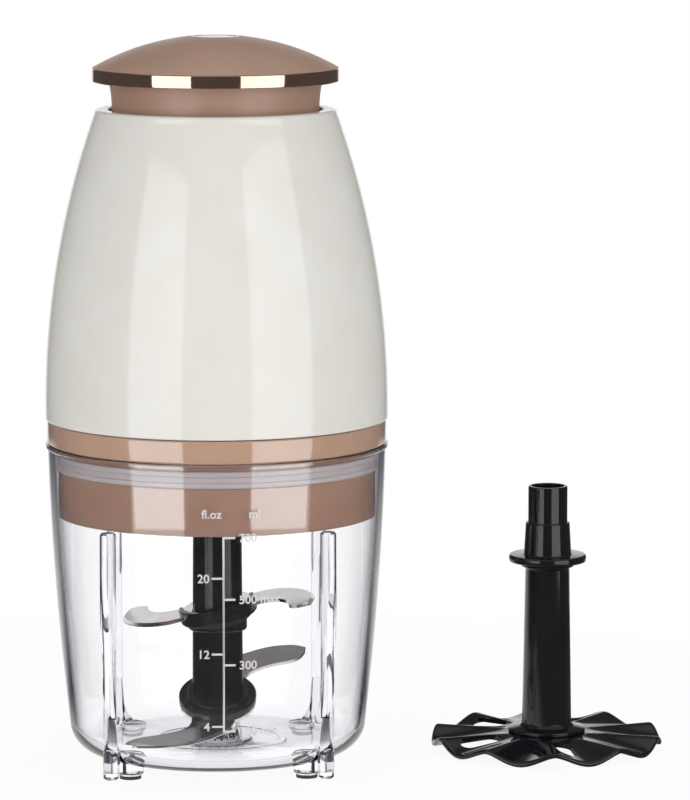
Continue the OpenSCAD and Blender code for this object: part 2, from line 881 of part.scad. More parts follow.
// Spur gear with a bore, turned so that one tooth points along phase
module spur_gear(pitch_r, teeth, phase, bore_r) {
    difference() {
        rotate([0, 0, phase])
            linear_extrude(gear_w)
                polygon(gear_points(pitch_r, teeth, backlash, pitch_r - dedendum, pitch_r + addendum));
        bar(bore_r, -cut, gear_w + cut);
    }
}

module ring_gear() {
    phase = 180 * planet_teeth / ring_teeth + 180 / ring_teeth;
    color(gear_colour)
        translate([0, 0, ring_z])
            difference() {
                cylinder(r = ring_out_r, h = ring_top_z - ring_z);
                translate([0, 0, -cut])
                    rotate([0, 0, phase])
                        linear_extrude(ring_top_z - ring_z + 2 * cut)
                            polygon(gear_points(
                                ring_pitch_r, ring_teeth, -backlash,
                                ring_pitch_r - addendum, ring_pitch_r + dedendum
                            ));
            }
}

module sun_gear() {
    color(steel_colour)
        translate([0, 0, gear_z])
            spur_gear(sun_pitch_r, sun_teeth, 0, shaft_r + seat_fit);
}

// Planet number i on the carrier, in mesh with the sun's tooth on +X
module planet(i) {
    at = 360 * i / planet_count;
    phase = 180 + at * (1 + sun_teeth / planet_teeth) - 180 / planet_teeth;
    color(gear_colour)
        translate([planet_circle_r * cos(at), planet_circle_r * sin(at), gear_z])
            spur_gear(planet_pitch_r, planet_teeth, phase, planet_pin_r + run_fit);
}

module planet_carrier() {
    color(steel_colour)
        difference() {
            bar(carrier_r, carrier_z, carrier_z + carrier_t);
            bar(journal_r + seat_fit, carrier_z - cut, carrier_z + carrier_t + cut);
            around(planet_count, planet_circle_r, 0)
                bar(planet_pin_r + seat_fit, carrier_z - cut, carrier_z + carrier_t + cut);
        }
}

module planet_pins() {
    color(steel_colour)
        around(planet_count, planet_circle_r, 0)
            bar(planet_pin_r, carrier_z, gear_top_z);
}

// Six-sided dog below, round journal above
module output_shaft() {
    dog_top = pot_floor_z - seat_gap;
    color(steel_colour)
        union() {
            translate([0, 0, dog_z])
                cylinder(r = drive_dog_r, h = dog_top - dog_z, $fn = 6);
            bar(journal_r, dog_top - cut, carrier_z + carrier_t);
        }
}

module output_bush() {
    color(brass_colour)
        tube(output_bush_r, journal_r + run_fit, pot_floor_z, pot_floor_top_z + nest_gap / 2);
}

module gear_cover() {
    color(steel_colour)
        difference() {
            union() {
                bar(pot_r, cover_z, cover_top_z);
                around(lug_count, lug_circle_r, 0)
                    bar(lug_r, cover_z, cover_top_z);
            }
            bar(shaft_r + 2, cover_z - cut, cover_top_z + cut);
            around(lug_count, lug_circle_r, 0)
                bar(screw_r + 0.2, cover_z - cut, cover_top_z + cut);
            around(2, motor_screw_circle_r, 0) {
                bar(motor_screw_r + 0.2, cover_z - cut, cover_top_z + cut);
                bar(motor_screw_r * 2, cover_z - cut, cover_z + motor_screw_r);
            }
        }
}

module cover_screws() {
    color(steel_colour)
        around(lug_count, lug_circle_r, 0)
            translate([0, 0, cover_top_z])
                mirror([0, 0, 1])
                    screw(screw_r, cover_t + cover_thread, screw_head_r, screw_head_h);
}

module motor_damper() {
    color(black_colour)
        difference() {
            tube(can_r - 1, can_r * 0.35, cover_top_z, can_z);
            around(2, motor_screw_circle_r, 0)
                bar(motor_screw_r + 0.2, cover_top_z - cut, can_z + cut);
        }
}

module motor_can() {
    color(steel_colour)
        difference() {
            union() {
                tube(can_r, can_r - can_wall, can_z, can_top_z);
                bar(can_r, can_z, can_z + can_wall);
                bar(bearing_r + cup_wall, can_z, can_z + can_wall + bearing_w);
            }
            bar(bearing_r + seat_fit, can_z + can_wall, can_z + can_wall + bearing_w + cut);
            bar(shaft_r + 1, can_z - cut, can_top_z);
            around(2, motor_screw_circle_r, 0)
                bar(motor_screw_r + seat_fit, can_z - cut, can_z + can_wall + cut);
        }
}

module motor_screws() {
    color(steel_colour)
        around(2, motor_screw_circle_r, 0)
            translate([0, 0, cover_z + motor_screw_r])
                screw(motor_screw_r, can_z + can_wall + 1 - cover_z - motor_screw_r,
                    motor_screw_r * 1.9, motor_screw_r);
}

module magnets() {
    color([0.3, 0.3, 0.32])
        for (a = [0, 180])
            rotate([0, 0, a - magnet_angle / 2])
                translate([0, 0, core_z - 2])
                    rotate_extrude(angle = magnet_angle)
                        translate([magnet_r - magnet_t, 0])
                            square([magnet_t, core_top_z - core_z + 4]);
}

module ball_bearing(z) {
    tube(bearing_r, shaft_r + run_fit, z, z + bearing_w);
}

module lower_bearing() {
    color(steel_colour)
        ball_bearing(can_z + can_wall);
}

module upper_bearing() {
    color(steel_colour)
        ball_bearing(can_top_z + end_cap_t);
}

// End bell with the bearing cup above and the brush boxes below
module motor_end_cap() {
    box_w = brush_w + 2;
    box_t = brush_t + 2;
    in_r = comm_r + 1;
    color([0.2, 0.2, 0.22])
        difference() {
            union() {
                bar(can_r, can_top_z, can_top_z + end_cap_t);
                bar(bearing_r + cup_wall, can_top_z, can_top_z + end_cap_t + bearing_w);
                for (a = [0, 180])
                    rotate([0, 0, a])
                        translate([in_r, -box_w / 2, brush_z - box_t / 2])
                            cube([can_r - can_wall - nest_gap - in_r, box_w, can_top_z + cut - brush_z + box_t / 2]);
            }
            bar(bearing_r + seat_fit, can_top_z + end_cap_t, can_top_z + end_cap_t + bearing_w + cut);
            bar(shaft_r + 1, comm_z, can_top_z + end_cap_t + cut);
            for (a = [0, 180])
                rotate([0, 0, a])
                    translate([in_r - cut, -brush_w / 2 - seat_fit, brush_z - brush_t / 2 - seat_fit])
                        cube([can_r, brush_w + 2 * seat_fit, brush_t + 2 * seat_fit]);
        }
}

module brushes() {
    color([0.15, 0.15, 0.16])
        for (a = [0, 180])
            rotate([0, 0, a])
                translate([comm_r + seat_gap, -brush_w / 2, brush_z - brush_t / 2])
                    cube([brush_len, brush_w, brush_t]);
}

module motor_shaft() {
    color(steel_colour)
        bar(shaft_r, gear_z, shaft_top_z);
}

// Lamination stack with winding slots
core_slots = 12;
module armature_core() {
    color([0.45, 0.46, 0.48])
        difference() {
            bar(core_r, core_z, core_top_z);
            bar(shaft_r + seat_fit, core_z - cut, core_top_z + cut);
            around(core_slots, core_r - slot_depth, 0)
                bar(slot_r, core_z - cut, core_top_z + cut);
            around(core_slots, core_r, 0)
                translate([-slot_depth, -slot_mouth / 2, core_z - cut])
                    cube([slot_depth + cut, slot_mouth, core_top_z - core_z + 2 * cut]);
        }
}

// Copper winding heads at both ends of the core
module windings() {
    in_r = shaft_r + 1.5;
    width = core_r - slot_depth - in_r;
    color(copper_colour)
        for (z = [core_z - winding_h, core_top_z])
            rotate_extrude()
                translate([in_r, z])
                    union() {
                        translate([1, 0])
                            square([width - 2, winding_h]);
                        translate([0, 1])
                            square([width, winding_h - 2]);
                        for (x = [1, width - 1], y = [1, winding_h - 1])
                            translate([x, y])
                                circle(r = 1);
                    }
}

// Copper segments on an insulating ring
comm_segments = 12;
module commutator() {
    color(copper_colour)
        difference() {
            tube(comm_r, shaft_r + seat_fit, comm_z, comm_top_z);
            around(comm_segments, comm_r, 0)
                translate([-1, -0.2, comm_z - cut])
                    cube([2, 0.4, comm_h + 2 * cut]);
        }
}

// Radial fan on the shaft's upper end
module cooling_fan() {
    plate = 1.4;
    color([0.85, 0.85, 0.82])
        difference() {
            union() {
                bar(fan_r, fan_z, fan_z + plate);
                bar(shaft_r + 2.2, fan_z, fan_z + fan_h);
                for (i = [0 : fan_blades - 1])
                    rotate([0, 0, 360 * i / fan_blades])
                        translate([shaft_r + 1.5, -0.6, fan_z])
                            cube([fan_r - shaft_r - 2, 1.2, fan_h]);
            }
            bar(shaft_r + seat_fit, fan_z - cut, fan_z + fan_h + cut);
        }
}

module circuit_board() {
    color([0.15, 0.4, 0.22])
        difference() {
            translate([board_x - board_w / 2, -board_len / 2, board_z])
                cube([board_w, board_len, board_t]);
            for (y = [-board_post_y, board_post_y])
                translate([board_x, y, 0])
                    bar(pilot_r, board_z - cut, board_z + board_t + cut);
        }
}

module capacitor() {
    color([0.2, 0.22, 0.35])
        translate([board_x, -3, 0])
            bar(capacitor_r, board_z + board_t, board_z + board_t + capacitor_h);
}

module rectifier() {
    color(black_colour)
        translate([board_x - rectifier_t / 2, 3.4, board_z + board_t])
            cube([rectifier_t, rectifier_w, rectifier_h]);
}

module board_screws() {
    color(steel_colour)
        for (y = [-board_post_y, board_post_y])
            translate([board_x, y, board_z + board_t])
                mirror([0, 0, 1])
                    screw(pilot_r * 0.75, board_t + board_thread, board_head_r, board_head_h);
}

module switch_plate() {
    color([0.3, 0.3, 0.32])
        difference() {
            union() {
                bar(plate_r, plate_z, plate_top_z);
                around(cap_count, spring_circle_r, hook_phase)
                    bar(spring_spigot_r, plate_top_z - cut, plate_top_z + spring_spigot_h);
            }
            around(cap_count, plate_boss_circle_r, plate_phase)
                bar(screw_r + 0.2, plate_z - cut, plate_top_z + cut);
            around(cap_count, spring_circle_r, plate_phase)
                bar(4.5, plate_z - cut, plate_top_z + cut);
        }
}

module plate_screws() {
    color(steel_colour)
        around(cap_count, plate_boss_circle_r, plate_phase)
            translate([0, 0, plate_z])
                screw(screw_r, plate_t + plate_thread, screw_head_r, screw_head_h);
}

module switch_body() {
    color(black_colour)
        difference() {
            translate([-switch_w / 2, -switch_d / 2, plate_top_z])
                cube([switch_w, switch_d, switch_top_z - plate_top_z]);
            bar(button_r + run_fit, plate_top_z + nest_gap / 2, switch_top_z + cut);
        }
}

module switch_button() {
    color([0.75, 0.2, 0.15])
        bar(button_r, button_z, button_top_z);
}

// Tube swept along a helix, closed at both ends
spring_sides = 6;
spring_rings = 8;
module spring(len) {
    rings = spring_turns * spring_rings;
    rise = len - 2 * spring_wire_r - 0.1;
    points = [
        for (i = [0 : rings])
            for (k = [0 : spring_sides - 1])
                let (
                    a = 360 * i / spring_rings,
                    b = 360 * k / spring_sides,
                    r = spring_r + spring_wire_r * cos(b)
                )
                [r * cos(a), r * sin(a), spring_wire_r + 0.05 + rise * i / rings + spring_wire_r * sin(b)]
    ];
    sides = [
        for (i = [0 : rings - 1])
            for (k = [0 : spring_sides - 1])
                let (
                    a = i * spring_sides + k,
                    b = i * spring_sides + (k + 1) % spring_sides
                )
                each [[a, a + spring_sides, b], [b, a + spring_sides, b + spring_sides]]
    ];
    last = rings * spring_sides;
    ends = concat(
        [for (k = [1 : spring_sides - 2]) [0, k, k + 1]],
        [for (k = [1 : spring_sides - 2]) [last, last + k + 1, last + k]]
    );
    polyhedron(points, concat(sides, ends));
}

module return_springs() {
    color(steel_colour)
        around(cap_count, spring_circle_r, hook_phase)
            translate([0, 0, plate_top_z])
                spring(spring_len);
}

// Domed cover with its rim, screw bosses and the shallow recess for the disc
module dome() {
    rim_z = trim_z + cap_flange_t + seat_fit;
    color(tan_colour)
        difference() {
            union() {
                difference() {
                    intersection() {
                        translate([0, 0, dome_top_z - dome_r])
                            sphere(r = dome_r);
                        union() {
                            bar(cap_r, trim_top_z + seat_fit, dome_top_z);
                            bar(cap_in_r - seat_fit, rim_z, dome_top_z);
                        }
                    }
                    intersection() {
                        translate([0, 0, dome_top_z - dome_r])
                            sphere(r = dome_r - dome_t);
                        bar(cap_in_r - dome_t, rim_z - cut, dome_top_z);
                    }
                }
                intersection() {
                    around(cap_count, cap_boss_circle_r, plate_phase)
                        bar(cap_boss_r, web_z + web_t + seat_fit, dome_top_z);
                    translate([0, 0, dome_top_z - dome_r])
                        sphere(r = dome_r - dome_t / 2);
                }
            }
            bar(disc_r + 0.3, disc_floor_z, dome_top_z + cut);
            around(cap_count, cap_boss_circle_r, plate_phase)
                bar(pilot_r, web_z, web_z + web_t + 10);
        }
}

module trim_ring() {
    edge = 0.5;
    color(copper_colour)
        rotate_extrude()
            polygon([
                [cap_in_r, trim_z],
                [cap_r - edge, trim_z],
                [cap_r, trim_z + edge],
                [cap_r, trim_top_z - edge],
                [cap_r - edge, trim_top_z],
                [cap_in_r, trim_top_z]
            ]);
}

// Neck with its flange, web, switch post, spring spigots and hooks under the guide tube
module cap_skirt() {
    in_r = neck_low_r - neck_wall;
    flare_steps = 4;
    color(tan_colour)
        difference() {
            union() {
                rotate_extrude()
                    polygon(concat(
                        [[in_r, skirt_z], [neck_low_r, skirt_z]],
                        [
                            for (i = [0 : flare_steps])
                                let (t = i / flare_steps)
                                [neck_low_r + neck_taper * t ^ 2, shell_top_z + neck_show * t]
                        ],
                        [
                            [cap_in_r - seat_fit, trim_z],
                            [cap_in_r - seat_fit, trim_z + cap_flange_t],
                            [in_r, trim_z + cap_flange_t]
                        ]
                    ));
                bar(in_r + cut, web_z, web_z + web_t);
                bar(post_r, web_z - post_h, web_z + cut);
                around(cap_count, spring_circle_r, hook_phase)
                    bar(spring_spigot_r, web_z - spring_spigot_h, web_z + cut);
                for (i = [0 : cap_count - 1])
                    rotate([0, 0, hook_phase + 360 * i / cap_count - hook_angle / 2])
                        translate([0, 0, skirt_z])
                            rotate_extrude(angle = hook_angle)
                                translate([in_r + 0.5, 0])
                                    square([hook_r - in_r - 0.5, hook_t]);
            }
            around(cap_count, cap_boss_circle_r, plate_phase)
                bar(screw_r + 0.2, web_z - cut, web_z + web_t + cut);
        }
}

module cap_disc() {
    color(white_colour)
        bar(disc_r, disc_floor_z, disc_floor_z + disc_t);
}

module cap_screws() {
    color(steel_colour)
        around(cap_count, cap_boss_circle_r, plate_phase)
            translate([0, 0, web_z])
                screw(screw_r, web_t + plate_thread, screw_head_r, screw_head_h);
}

// Round mouth and six-sided socket of a drive end whose top is at z
module drive_socket(z) {
    bar(drive_bore_r, z - drive_bore_h, z + cut);
    translate([0, 0, z - drive_bore_h - drive_hex_h])
        cylinder(r = drive_hex_r, h = drive_hex_h + cut, $fn = 6);
}

// Children set in the plane of a tilted blade
module on_blade(z, tilt) {
    translate([0, 0, z])
        rotate(tilt)
            children();
}

module hub() {
    flange_gap = seat_fit;
    color(black_colour)
        difference() {
            union() {
                translate([0, 0, hub_z])
                    cylinder(r1 = hub_r, r2 = hub_r - hub_taper, h = hub_shoulder_z - hub_z);
                bar(drive_neck_r, hub_shoulder_z - cut, hub_top_z);
                on_blade(lower_blade_z, lower_tilt)
                    bar(hub_flange_r, blade_t / 2 + flange_gap, blade_t / 2 + lower_flange_t);
                on_blade(upper_blade_z, upper_tilt)
                    bar(hub_flange_r, -blade_t / 2 - upper_flange_t, -blade_t / 2 - flange_gap);
                difference() {
                    bar(hub_collar_r, upper_blade_z - 1 - hub_collar_h, upper_blade_z);
                    on_blade(upper_blade_z, upper_tilt)
                        bar(hub_flange_r + cut, -blade_t / 2 - upper_flange_t / 2, hub_flange_r);
                }
            }
            bar(bush_r + seat_fit, hub_z - cut, hub_z + bush_h);
            bar(pin_r + nest_gap, hub_z - cut, hub_bore_top_z);
            drive_socket(hub_top_z);
        }
}

module hub_bush() {
    color(brass_colour)
        tube(bush_r, pin_r + run_fit, hub_z, hub_z + bush_h - seat_gap);
}

// Hooked wing along +X: swept-back leading edge, step on the trailing side, for a reach of 36.8
upper_lead = [[6, 5.6], [13.8, 6.2], [18.5, 6.6], [24.5, 4.3], [29.1, 0.3], [32.5, -5], [33.7, -11.4], [31.7, -18.5]];
upper_trail = [[27.1, -18.8], [24.6, -16.8], [24.2, -12.4], [22.8, -9], [19.5, -6.1], [14.7, -5.2], [6, -5.6]];
upper_drawn_reach = 36.8;
module upper_wing() {
    linear_extrude(blade_t)
        polygon(concat(curve(upper_lead, 4), [upper_lead[7]], curve(upper_trail, 4), [upper_trail[6]])
            * upper_blade_reach / upper_drawn_reach);
}

module upper_blade() {
    color(steel_colour)
        difference() {
            on_blade(upper_blade_z, upper_tilt)
                translate([0, 0, -blade_t / 2])
                    union() {
                        cylinder(r = hub_flange_r - 0.3, h = blade_t);
                        for (a = [0, 180])
                            rotate([0, 0, a])
                                upper_wing();
                    }
            bar(hub_r + seat_fit, upper_blade_z - 20, upper_blade_z + 20);
        }
}

// Plain sickle wing that leaves the hub along +Y and curves to +X, for a reach of 45
lower_lead = [[-6, 4], [-5.5, 14.8], [-1.5, 20.5], [6, 26.9], [18, 32.2], [27, 33], [32.2, 31.4]];
lower_trail = [[31.8, 28.2], [29.8, 24.8], [26, 22.4], [19.8, 20.8], [13, 17.4], [9.5, 12.4], [9.5, 4]];
lower_drawn_reach = 45;
module lower_wing(h) {
    linear_extrude(h)
        polygon(concat(curve(lower_lead, 4), [lower_lead[6]], curve(lower_trail, 4), [lower_trail[6]])
            * lower_blade_reach / lower_drawn_reach);
}

// Side view of the lower blade: flat, but bent up in front of the flange
module lower_profile() {
    bend_y = hub_flange_r + nest_gap;
    rise = (lower_blade_reach - bend_y) * tan(lower_blade_bend);
    translate([-lower_blade_reach, 0, 0])
        rotate([90, 0, 90])
            linear_extrude(2 * lower_blade_reach)
                polygon([
                    [-lower_blade_reach, rise],
                    [-bend_y, 0],
                    [lower_blade_reach, 0],
                    [lower_blade_reach, blade_t],
                    [-bend_y, blade_t],
                    [-lower_blade_reach, rise + blade_t]
                ]);
}

module lower_blade() {
    color([0.45, 0.43, 0.43])
        difference() {
            on_blade(lower_blade_z, lower_tilt)
                translate([0, 0, -blade_t / 2])
                    intersection() {
                        lower_profile();
                        translate([0, 0, -cut])
                            union() {
                                cylinder(r = hub_flange_r - 0.6, h = lower_blade_reach);
                                lower_wing(lower_blade_reach);
                                rotate([0, 0, 180])
                                    lower_wing(lower_blade_reach);
                            }
                    }
            bar(hub_r + seat_fit, lower_blade_z - 20, lower_blade_z + 20);
            on_blade(lower_blade_z, lower_tilt)
                bar(hub_flange_r + seat_fit, blade_t / 2, blade_t / 2 + lower_flange_t + seat_fit);
        }
}

// Stem with two flanges, the same drive end as the blade hub and a bore that clears the spindle
module whisk_stem() {
    color(black_colour)
        translate([whisk_x, whisk_y, 0])
            difference() {
                union() {
                    bar(wave_in_r - seat_fit, stem_z, foot_flange_top_z);
                    bar(stem_flange_r, foot_flange_z, foot_flange_top_z);
                    translate([0, 0, foot_flange_top_z - cut])
                        cylinder(r1 = stem_foot_r, r2 = stem_top_r, h = top_flange_z - foot_flange_top_z + cut);
                    translate([0, 0, top_flange_z - stem_collar_h])
                        cylinder(r1 = stem_top_r, r2 = stem_top_r + 1.2, h = stem_collar_h);
                    bar(stem_flange_r, top_flange_z, top_flange_top_z);
                    bar(stem_shoulder_r, top_flange_top_z - cut, stem_neck_z);
                    bar(drive_neck_r, stem_neck_z - cut, whisk_h);
                }
                bar(stem_spindle_r, stem_z - cut, stem_pin_z);
                bar(pin_r + run_fit, stem_z, stem_pin_top_z);
                drive_socket(whisk_h);
            }
}

// Wavy annulus: the wave grows from nothing at the flange to its full height at the rim, with creased crests
wave_sectors = 10;
wave_rings = 5;
function wave_grow(r) = max(0, (r - stem_flange_r) / (wave_r - stem_flange_r));
function wave_z(r, a) =
    wave_hub_z + (wave_rim_z - wave_hub_z) * wave_grow(r)
    + wave_amp * wave_grow(r) * (1 - 2 * pow(abs(cos(wave_count * a / 2)), wave_crease));
module wave_plate() {
    n = wave_count * wave_sectors;
    radii = concat([wave_in_r], [for (i = [0 : wave_rings]) stem_flange_r + (wave_r - stem_flange_r) * i / wave_rings]);
    m = len(radii);
    points = [
        for (side = [-1, 1])
            for (r = radii)
                for (k = [0 : n - 1])
                    let (a = 360 * k / n)
                    [r * cos(a), r * sin(a), wave_z(r, a) + side * wave_t / 2]
    ];
    function at(side, j, k) = (side * m + j) * n + k % n;
    faces = [
        for (j = [0 : m - 2])
            for (k = [0 : n - 1])
                each [
                    [at(1, j, k), at(1, j + 1, k + 1), at(1, j + 1, k)],
                    [at(1, j, k), at(1, j, k + 1), at(1, j + 1, k + 1)],
                    [at(0, j, k), at(0, j + 1, k), at(0, j + 1, k + 1)],
                    [at(0, j, k), at(0, j + 1, k + 1), at(0, j, k + 1)]
                ]
    ];
    rims = [
        for (k = [0 : n - 1])
            each [
                [at(0, m - 1, k), at(1, m - 1, k), at(1, m - 1, k + 1)],
                [at(0, m - 1, k), at(1, m - 1, k + 1), at(0, m - 1, k + 1)],
                [at(0, 0, k), at(1, 0, k + 1), at(1, 0, k)],
                [at(0, 0, k), at(0, 0, k + 1), at(1, 0, k + 1)]
            ]
    ];
    polyhedron(points, concat(faces, rims));
}

module whisk_disc() {
    half = (slot_len - slot_w) / 2;
    color(black_colour)
        translate([whisk_x, whisk_y, 0])
            difference() {
                wave_plate();
                around(slot_count, slot_mid_r, slot_phase)
                    translate([0, 0, -cut])
                        linear_extrude(wave_hub_z + 2 * wave_amp + wave_t)
                            union() {
                                square([2 * half, slot_w], center = true);
                                for (x = [-half, half])
                                    translate([x, 0])
                                        circle(d = slot_w);
                            }
            }
}

bowl();
foot_pads();
spindle_pin();
lid();
lid_seal();
shell();
motor_base();
base_screws();
cord_gland();
ring_gear();
output_bush();
gear_cover();
cover_screws();
motor_damper();
motor_can();
magnets();
motor_end_cap();
motor_screws();
brushes();
lower_bearing();
upper_bearing();
circuit_board();
capacitor();
rectifier();
board_screws();
switch_plate();
plate_screws();
switch_body();
return_springs();
motor_shaft();
armature_core();
windings();
commutator();
cooling_fan();
sun_gear();
planet_carrier();
planet_pins();
output_shaft();
planet(0);  // planet_gear_1
planet(1);  // planet_gear_2
planet(2);  // planet_gear_3
dome();
trim_ring();
cap_skirt();
cap_disc();
cap_screws();
switch_button();
hub();
hub_bush();
upper_blade();
lower_blade();
whisk_stem();
whisk_disc();
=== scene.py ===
"""Looks of a press-top food chopper with its clear bowl, blade unit and loose whisk disc.

All sizes are in millimetres in the shared frame: +Z up, the origin on the bowl's axis at the table, and -Y to
the front. The studio alone is in metres.
"""

from __future__ import annotations

import logging
import math
from dataclasses import dataclass
from enum import Enum
from typing import Callable, ClassVar, Sequence

import bpy
from mathutils import Matrix, Vector

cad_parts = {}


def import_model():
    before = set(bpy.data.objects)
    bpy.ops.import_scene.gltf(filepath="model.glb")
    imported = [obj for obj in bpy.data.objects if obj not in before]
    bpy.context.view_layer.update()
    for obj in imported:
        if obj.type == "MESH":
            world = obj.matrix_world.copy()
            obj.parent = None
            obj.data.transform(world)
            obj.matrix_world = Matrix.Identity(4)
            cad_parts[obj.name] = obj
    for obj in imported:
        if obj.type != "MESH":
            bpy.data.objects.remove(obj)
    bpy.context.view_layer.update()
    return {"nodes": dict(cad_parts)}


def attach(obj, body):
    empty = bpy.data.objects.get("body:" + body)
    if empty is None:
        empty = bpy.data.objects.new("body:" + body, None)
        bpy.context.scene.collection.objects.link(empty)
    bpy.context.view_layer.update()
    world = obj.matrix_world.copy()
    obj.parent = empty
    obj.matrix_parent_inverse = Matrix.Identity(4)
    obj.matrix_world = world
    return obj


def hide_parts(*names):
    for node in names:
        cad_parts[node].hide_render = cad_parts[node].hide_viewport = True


LOG = logging.getLogger("chopper")
MM = 0.001

# Radius, height and edge radius of one corner of an outline.
Corner = tuple[float, float, float]
Point = tuple[float, float]
Point3 = tuple[float, float, float]
Piece = bpy.types.Object
Tree = bpy.types.NodeTree
Socket = bpy.types.NodeSocket

WHITE = (1.0, 1.0, 1.0, 1.0)
ON_PLAN: Point3 = (1.0, 1.0, 0.0)
# Turns a plan so that its Y becomes the height.
UPRIGHT = Matrix.Rotation(math.pi / 2, 4, "X")
# Gap between pieces that sit in each other.
FIT = 0.05
# How far a cutter stands out of what it cuts.
OVER = 1.0
# Share of a side that one round edge may take up.
SIDE_SHARE = 0.49
# Radius below which a point of a turned outline is a pole.
POLE_R = 1e-6
# Range in which most values of a noise texture lie.
NOISE_LOW, NOISE_HIGH = 0.3, 0.7
# Steps round large, middling and small or hidden turned forms.
SIDES, STEM_SIDES, SMALL_SIDES = 192, 128, 96
# Light that mirrors find in the dark parts of the studio, and that clear plastic finds behind it.
DIM, BRIGHT = 0.08, 1.22


class Join(Enum):
    """How two solids are put together."""

    UNION = "UNION"
    CUT = "DIFFERENCE"


class Grain(Enum):
    """Which way the fine lines of a metal run."""

    NONE = "none"
    ROUND = "round"
    ALONG = "along"


def to_linear(code: str) -> tuple[float, float, float, float]:
    """Turns an sRGB hex colour into linear RGBA.

    Args:
        code: six hex digits with a leading hash.

    Returns:
        Linear red, green, blue and an alpha of 1.
    """
    parts = [int(code[i : i + 2], 16) / 255 for i in (1, 3, 5)]
    low = [c / 12.92 if c <= 0.04045 else ((c + 0.055) / 1.055) ** 2.4 for c in parts]
    return (low[0], low[1], low[2], 1.0)


def add_node(
    tree: Tree,
    kind: str,
    settings: dict[str | int, object] | None = None,
    links: dict[str | int, Socket] | None = None,
) -> bpy.types.Node:
    """Adds one shader node.

    Args:
        tree: node tree of a material or the world.
        kind: Blender's name for the node.
        settings: values by attribute name, or by input name or number where the node has no such attribute.
        links: output sockets by the name or number of the input they feed.

    Returns:
        The new node.
    """
    node = tree.nodes.new(kind)
    for key, value in (settings or {}).items():
        if isinstance(key, str) and hasattr(node, key):
            setattr(node, key, value)
        else:
            node.inputs[key].default_value = value
    for key, socket in (links or {}).items():
        tree.links.new(socket, node.inputs[key])
    return node


def blank_material(name: str) -> tuple[bpy.types.Material, Tree]:
    """Makes a material with an empty node tree.

    Args:
        name: name of the finish.

    Returns:
        The material and its tree.
    """
    material = bpy.data.materials.new(name)
    material.use_nodes = True
    material.node_tree.nodes.clear()
    return material, material.node_tree


def per_mm(size: float) -> float:
    """Gives the noise scale whose features are size millimetres wide."""
    return 1.0 / (size * MM)


def drift(tree: Tree, place: Socket, size: float, low: float, high: float) -> Socket:
    """Makes a slow variation over the surface.

    Args:
        tree: the material's tree.
        place: object coordinates.
        size: width of the patches in millimetres.
        low: least value.
        high: greatest value.

    Returns:
        The output socket with the varying value.
    """
    noise = add_node(tree, "ShaderNodeTexNoise", {"Scale": per_mm(size), "Detail": 3.0}, {"Vector": place})
    spread = {"From Min": NOISE_LOW, "From Max": NOISE_HIGH, "To Min": low, "To Max": high}
    return add_node(tree, "ShaderNodeMapRange", spread, {"Value": noise.outputs["Fac"]}).outputs["Result"]


def worked(tree: Tree, operation: str, first: Socket, second: Socket | float = 0.0) -> Socket:
    """Works out one step of arithmetic.

    Args:
        tree: node tree of a material or the world.
        operation: Blender's name for the step.
        first: its first value.
        second: its second value, where it has one.

    Returns:
        Socket with what comes out.
    """
    if isinstance(second, Socket):
        return add_node(tree, "ShaderNodeMath", {"operation": operation}, {0: first, 1: second}).outputs[0]
    return add_node(tree, "ShaderNodeMath", {"operation": operation, 1: second}, {0: first}).outputs[0]


def axis_distance(tree: Tree, place: Socket) -> Socket:
    """Gives the distance from the Z axis."""
    plan = add_node(tree, "ShaderNodeVectorMath", {"operation": "MULTIPLY", 1: ON_PLAN}, {0: place})
    return add_node(tree, "ShaderNodeVectorMath", {"operation": "LENGTH"}, {0: plan.outputs[0]}).outputs["Value"]


def layered(tree: Tree, level: Socket, *layers: tuple[Socket, Socket | float]) -> Socket:
    """Lays levels over each other.

    Args:
        tree: node tree of a material or the world.
        level: the lowest level.
        layers: the share of each further level, and that level as a socket or a number.

    Returns:
        Socket with what comes out.
    """
    for share, over in layers:
        settings: dict[str | int, object] = {"data_type": "FLOAT"}
        links: dict[str | int, Socket] = {0: share, 2: level}
        if isinstance(over, Socket):
            links[3] = over
        else:
            settings[3] = over
        level = add_node(tree, "ShaderNodeMix", settings, links).outputs[0]
    return level


@dataclass(frozen=True)
class Fade:
    """Level that changes smoothly between two marks."""

    start: float
    end: float
    before: float = 0.0
    after: float = 1.0

    def follow(self, tree: Tree, value: Socket) -> Socket:
        """Gives the level that goes with a value.

        Args:
            tree: node tree of a material or the world.
            value: what the level follows.

        Returns:
            Socket with the level.
        """
        marks = {
            "interpolation_type": "SMOOTHSTEP",
            "From Min": self.start,
            "From Max": self.end,
            "To Min": self.before,
            "To Max": self.after,
        }
        return add_node(tree, "ShaderNodeMapRange", marks, {"Value": value}).outputs["Result"]


